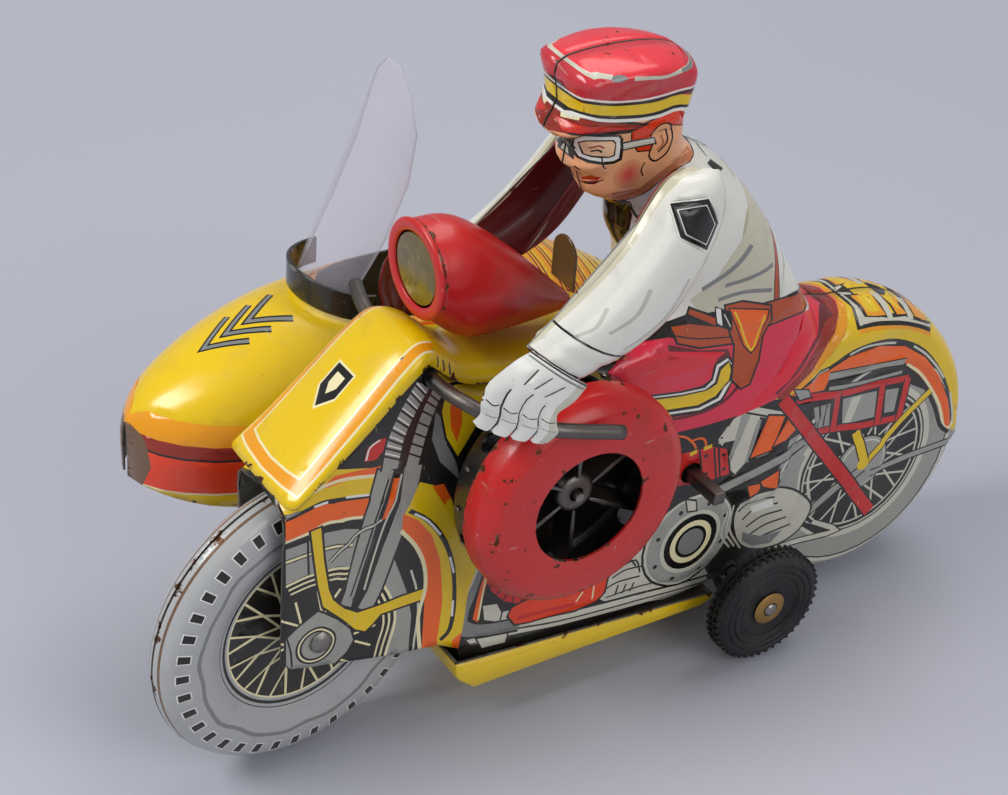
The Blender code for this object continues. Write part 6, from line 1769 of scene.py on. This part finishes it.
# ---- stage
def stage(look):
    backdrop = Finish("pale_backdrop", Specular_IOR_Level=0.3)
    clouds = backdrop.noise(3.0, 2.0)
    tone = backdrop.mix(clouds, lacquer(172, 175, 187), lacquer(182, 184, 195))
    backdrop.show(tone, clouds * 0.1 + 0.5)
    reach = 12.0 / MM
    spots = [(-reach, -reach, -0.5), (reach, -reach, -0.5), (reach, reach, -0.5), (-reach, reach, -0.5)]
    floor = add_piece("backdrop_sheet", spots, [[0, 1, 2, 3]], backdrop.material, shift=False)
    bpy.context.scene.view_settings.view_transform = "Standard"
    world = bpy.data.worlds.new("soft_room")
    bpy.context.scene.world = world
    world.use_nodes = True
    glow = world.node_tree.nodes["Background"]
    glow.inputs["Color"].default_value = (*look.room, 1.0)
    glow.inputs["Strength"].default_value = look.room_light
    lights = (
        ("key_panel", (-0.15, -0.85, 0.95), 0.55, look.key_light),
        ("fill_panel", (1.0, 0.25, 0.7), 0.8, look.key_light * 0.45),
        ("top_panel", (-0.3, 0.5, 1.2), 0.9, look.key_light * 0.6),
    )
    for name, spot, size, power in lights:
        lamp = bpy.data.lights.new(name, "AREA")
        lamp.shape = "RECTANGLE"
        lamp.size = size
        lamp.size_y = size * 0.8
        lamp.energy = power
        lamp.color = (1.0, 0.985, 0.96)
        holder = linked(name, lamp)
        holder.location = spot
        aim = Vector((0.0, 0.0, 0.06)) - Vector(spot)
        holder.rotation_euler = aim.to_track_quat("-Z", "Y").to_euler()
    turn, rise, roll = (math.radians(a) for a in (57.3157, 34.4840, 3.3680))
    target = (Vector((-25.312, -17.5184, 60.7399)) + SHIFT) * MM
    out = Vector((math.sin(turn) * math.cos(rise), -math.cos(turn) * math.cos(rise), math.sin(rise)))
    right = (-out).cross(Vector((0, 0, 1))).normalized()
    up = right.cross(-out)
    across = right * math.cos(roll) + up * math.sin(roll)
    upward = up * math.cos(roll) - right * math.sin(roll)
    view = Matrix((across, upward, out)).transposed().to_4x4()
    view.translation = target + out * 0.51985
    camera = bpy.data.cameras.new("viewpoint")
    camera.sensor_width = 36.0
    camera.lens = 87.333
    camera.shift_x = 0.06797
    camera.shift_y = -0.01477
    camera.clip_start = 0.01
    holder = linked("viewpoint", camera)
    holder.matrix_world = view
    bpy.context.scene.camera = holder


# ---- the user's sizes and colours
class TinToySizes(bpy.types.PropertyGroup):
    """Sizes that can be changed without leaving the fixed frame."""

    tin: FloatProperty(name="Tin thickness", description="Wall of the pressed halves, in millimetres",
                       default=0.45, min=0.2, max=0.7)
    print_pitch: FloatProperty(name="Sheet pitch", description="Spacing of plain sheet, in millimetres",
                               default=1.7, min=1.0, max=4.0)
    bar_radius: FloatProperty(name="Handlebar radius", description="Wire radius, in millimetres",
                              default=1.5, min=1.0, max=1.5)
    blades: IntProperty(name="Siren blades", description="Blades of the siren rotor", default=6, min=3,
                        max=8)
    treads: IntProperty(name="Tyre blocks", description="Printed blocks round the front tyre", default=38,
                        min=12, max=44)
    ribs: IntProperty(name="Rubber ribs", description="Ribs round each rubber wheel", default=44, min=12,
                      max=60)


class TinToyLook(bpy.types.PropertyGroup):
    """Colours, wear and light."""

    yellow: FloatVectorProperty(name="Yellow", description="Yellow enamel", subtype="COLOR", size=3,
                                default=COLOURS["yellow"], min=0.0, max=1.0)
    red: FloatVectorProperty(name="Red", description="Red enamel of the siren and lamp", subtype="COLOR",
                             size=3, default=lacquer(198, 14, 20), min=0.0, max=1.0)
    wear: FloatProperty(name="Wear", description="How much the rims are chipped", subtype="FACTOR",
                        default=0.6, min=0.0, max=1.0)
    room: FloatVectorProperty(name="Room colour", description="Colour of the soft room light",
                              subtype="COLOR", size=3, default=lacquer(206, 208, 216), min=0.0, max=1.0)
    room_light: FloatProperty(name="Room light", description="Strength of the soft room light", default=0.55,
                              min=0.0, max=3.0)
    key_light: FloatProperty(name="Main light", description="Power of the largest panel", subtype="POWER",
                             unit="POWER", default=9.0, min=0.0, max=100.0)


class TINTOY_OT_body_halves(bpy.types.Operator):
    """Makes the two pressed and printed halves of the body"""

    bl_idname = "tin_toy.body_halves"
    bl_label = "Pressed halves"

    def execute(self, context):
        body_halves(context.scene.tin_toy_sizes, make_finishes(context.scene.tin_toy_look))
        return {"FINISHED"}


class TINTOY_OT_mudguard(bpy.types.Operator):
    """Makes the yellow front mudguard and tank top"""

    bl_idname = "tin_toy.mudguard"
    bl_label = "Front mudguard"

    def execute(self, context):
        mudguard(make_finishes(context.scene.tin_toy_look))
        return {"FINISHED"}


class TINTOY_OT_headlamp(bpy.types.Operator):
    """Makes the headlamp shell, its rim, lens and the tank plate"""

    bl_idname = "tin_toy.headlamp"
    bl_label = "Headlamp"

    def execute(self, context):
        headlamp(make_finishes(context.scene.tin_toy_look))
        return {"FINISHED"}


class TINTOY_OT_arms(bpy.types.Operator):
    """Makes the two pressed arms with gloved hands"""

    bl_idname = "tin_toy.arms"
    bl_label = "Arms"

    def execute(self, context):
        arms(make_finishes(context.scene.tin_toy_look))
        return {"FINISHED"}


class TINTOY_OT_handlebar(bpy.types.Operator):
    """Makes the bent wire handlebar"""

    bl_idname = "tin_toy.handlebar"
    bl_label = "Handlebar"

    def execute(self, context):
        handlebar(context.scene.tin_toy_sizes, make_finishes(context.scene.tin_toy_look))
        return {"FINISHED"}


class TINTOY_OT_footboard(bpy.types.Operator):
    """Makes the yellow channel under the body"""

    bl_idname = "tin_toy.footboard"
    bl_label = "Footboard"

    def execute(self, context):
        footboard(make_finishes(context.scene.tin_toy_look))
        return {"FINISHED"}


class TINTOY_OT_siren_case(bpy.types.Operator):
    """Makes the vented black case and the red cover of the siren"""

    bl_idname = "tin_toy.siren_case"
    bl_label = "Siren case"

    def execute(self, context):
        siren_case(make_finishes(context.scene.tin_toy_look))
        return {"FINISHED"}


class TINTOY_OT_siren_rotor(bpy.types.Operator):
    """Makes the bladed rotor inside the siren"""

    bl_idname = "tin_toy.siren_rotor"
    bl_label = "Siren rotor"

    def execute(self, context):
        siren_rotor(context.scene.tin_toy_sizes, make_finishes(context.scene.tin_toy_look))
        return {"FINISHED"}


class TINTOY_OT_front_wheel(bpy.types.Operator):
    """Makes the two printed wheel pressings and their rivet"""

    bl_idname = "tin_toy.front_wheel"
    bl_label = "Front wheel"

    def execute(self, context):
        front_wheel(context.scene.tin_toy_sizes, make_finishes(context.scene.tin_toy_look))
        return {"FINISHED"}


class TINTOY_OT_drive_wheels(bpy.types.Operator):
    """Makes the ribbed rubber wheels, brass washers and axle"""

    bl_idname = "tin_toy.drive_wheels"
    bl_label = "Drive wheels"

    def execute(self, context):
        drive_wheels(context.scene.tin_toy_sizes, make_finishes(context.scene.tin_toy_look))
        return {"FINISHED"}


class TINTOY_OT_winding_shaft(bpy.types.Operator):
    """Makes the shaft that the key turns"""

    bl_idname = "tin_toy.winding_shaft"
    bl_label = "Winding shaft"

    def execute(self, context):
        winding_shaft(make_finishes(context.scene.tin_toy_look))
        return {"FINISHED"}


class TINTOY_OT_sidecar_body(bpy.types.Operator):
    """Makes the printed sidecar shell"""

    bl_idname = "tin_toy.sidecar_body"
    bl_label = "Sidecar body"

    def execute(self, context):
        sidecar_body(make_finishes(context.scene.tin_toy_look))
        return {"FINISHED"}


class TINTOY_OT_sidecar_fittings(bpy.types.Operator):
    """Makes the bench, struts, wheel and axle of the sidecar"""

    bl_idname = "tin_toy.sidecar_fittings"
    bl_label = "Sidecar fittings"

    def execute(self, context):
        sidecar_fittings(context.scene.tin_toy_sizes, make_finishes(context.scene.tin_toy_look))
        return {"FINISHED"}


class TINTOY_OT_windscreen(bpy.types.Operator):
    """Makes the clear windscreen and its black clamp"""

    bl_idname = "tin_toy.windscreen"
    bl_label = "Windscreen"

    def execute(self, context):
        windscreen(make_finishes(context.scene.tin_toy_look))
        return {"FINISHED"}


class TINTOY_OT_motor_works(bpy.types.Operator):
    """Gives the clockwork nodes their metals"""

    bl_idname = "tin_toy.motor_works"
    bl_label = "Clockwork finishes"

    def execute(self, context):
        motor_works(make_finishes(context.scene.tin_toy_look))
        return {"FINISHED"}


class TINTOY_OT_stage(bpy.types.Operator):
    """Makes the pale backdrop, the lights and the camera"""

    bl_idname = "tin_toy.stage"
    bl_label = "Stage"

    def execute(self, context):
        stage(context.scene.tin_toy_look)
        return {"FINISHED"}


PIECES = (
    TINTOY_OT_body_halves, TINTOY_OT_mudguard, TINTOY_OT_headlamp,
    TINTOY_OT_arms, TINTOY_OT_handlebar, TINTOY_OT_footboard,
    TINTOY_OT_siren_case, TINTOY_OT_siren_rotor, TINTOY_OT_front_wheel,
    TINTOY_OT_drive_wheels, TINTOY_OT_winding_shaft, TINTOY_OT_sidecar_body,
    TINTOY_OT_sidecar_fittings, TINTOY_OT_windscreen, TINTOY_OT_motor_works,
    TINTOY_OT_stage,
)


class TINTOY_PT_panel(bpy.types.Panel):
    """Lists the pieces of the toy."""

    bl_idname = "TINTOY_PT_panel"
    bl_label = "Tin Motorcycle"
    bl_space_type = "VIEW_3D"
    bl_region_type = "UI"
    bl_category = "Tin Motorcycle"

    def draw(self, context):
        column = self.layout.column()
        for group in (context.scene.tin_toy_sizes, context.scene.tin_toy_look):
            for key in group.bl_rna.properties.keys():
                if key not in ("rna_type", "name"):
                    column.prop(group, key)
        for entry in PIECES:
            column.operator(entry.bl_idname)


CLASSES = (TinToySizes, TinToyLook) + PIECES + (TINTOY_PT_panel,)


def register():
    for entry in CLASSES:
        bpy.utils.register_class(entry)
    bpy.types.Scene.tin_toy_sizes = PointerProperty(type=TinToySizes)
    bpy.types.Scene.tin_toy_look = PointerProperty(type=TinToyLook)


def unregister():
    del bpy.types.Scene.tin_toy_look
    del bpy.types.Scene.tin_toy_sizes
    for entry in reversed(CLASSES):
        bpy.utils.unregister_class(entry)


def main():
    register()
    for entry in PIECES:
        group, name = entry.bl_idname.split(".")
        getattr(getattr(bpy.ops, group), name)()


if __name__ == "__main__":
    main()
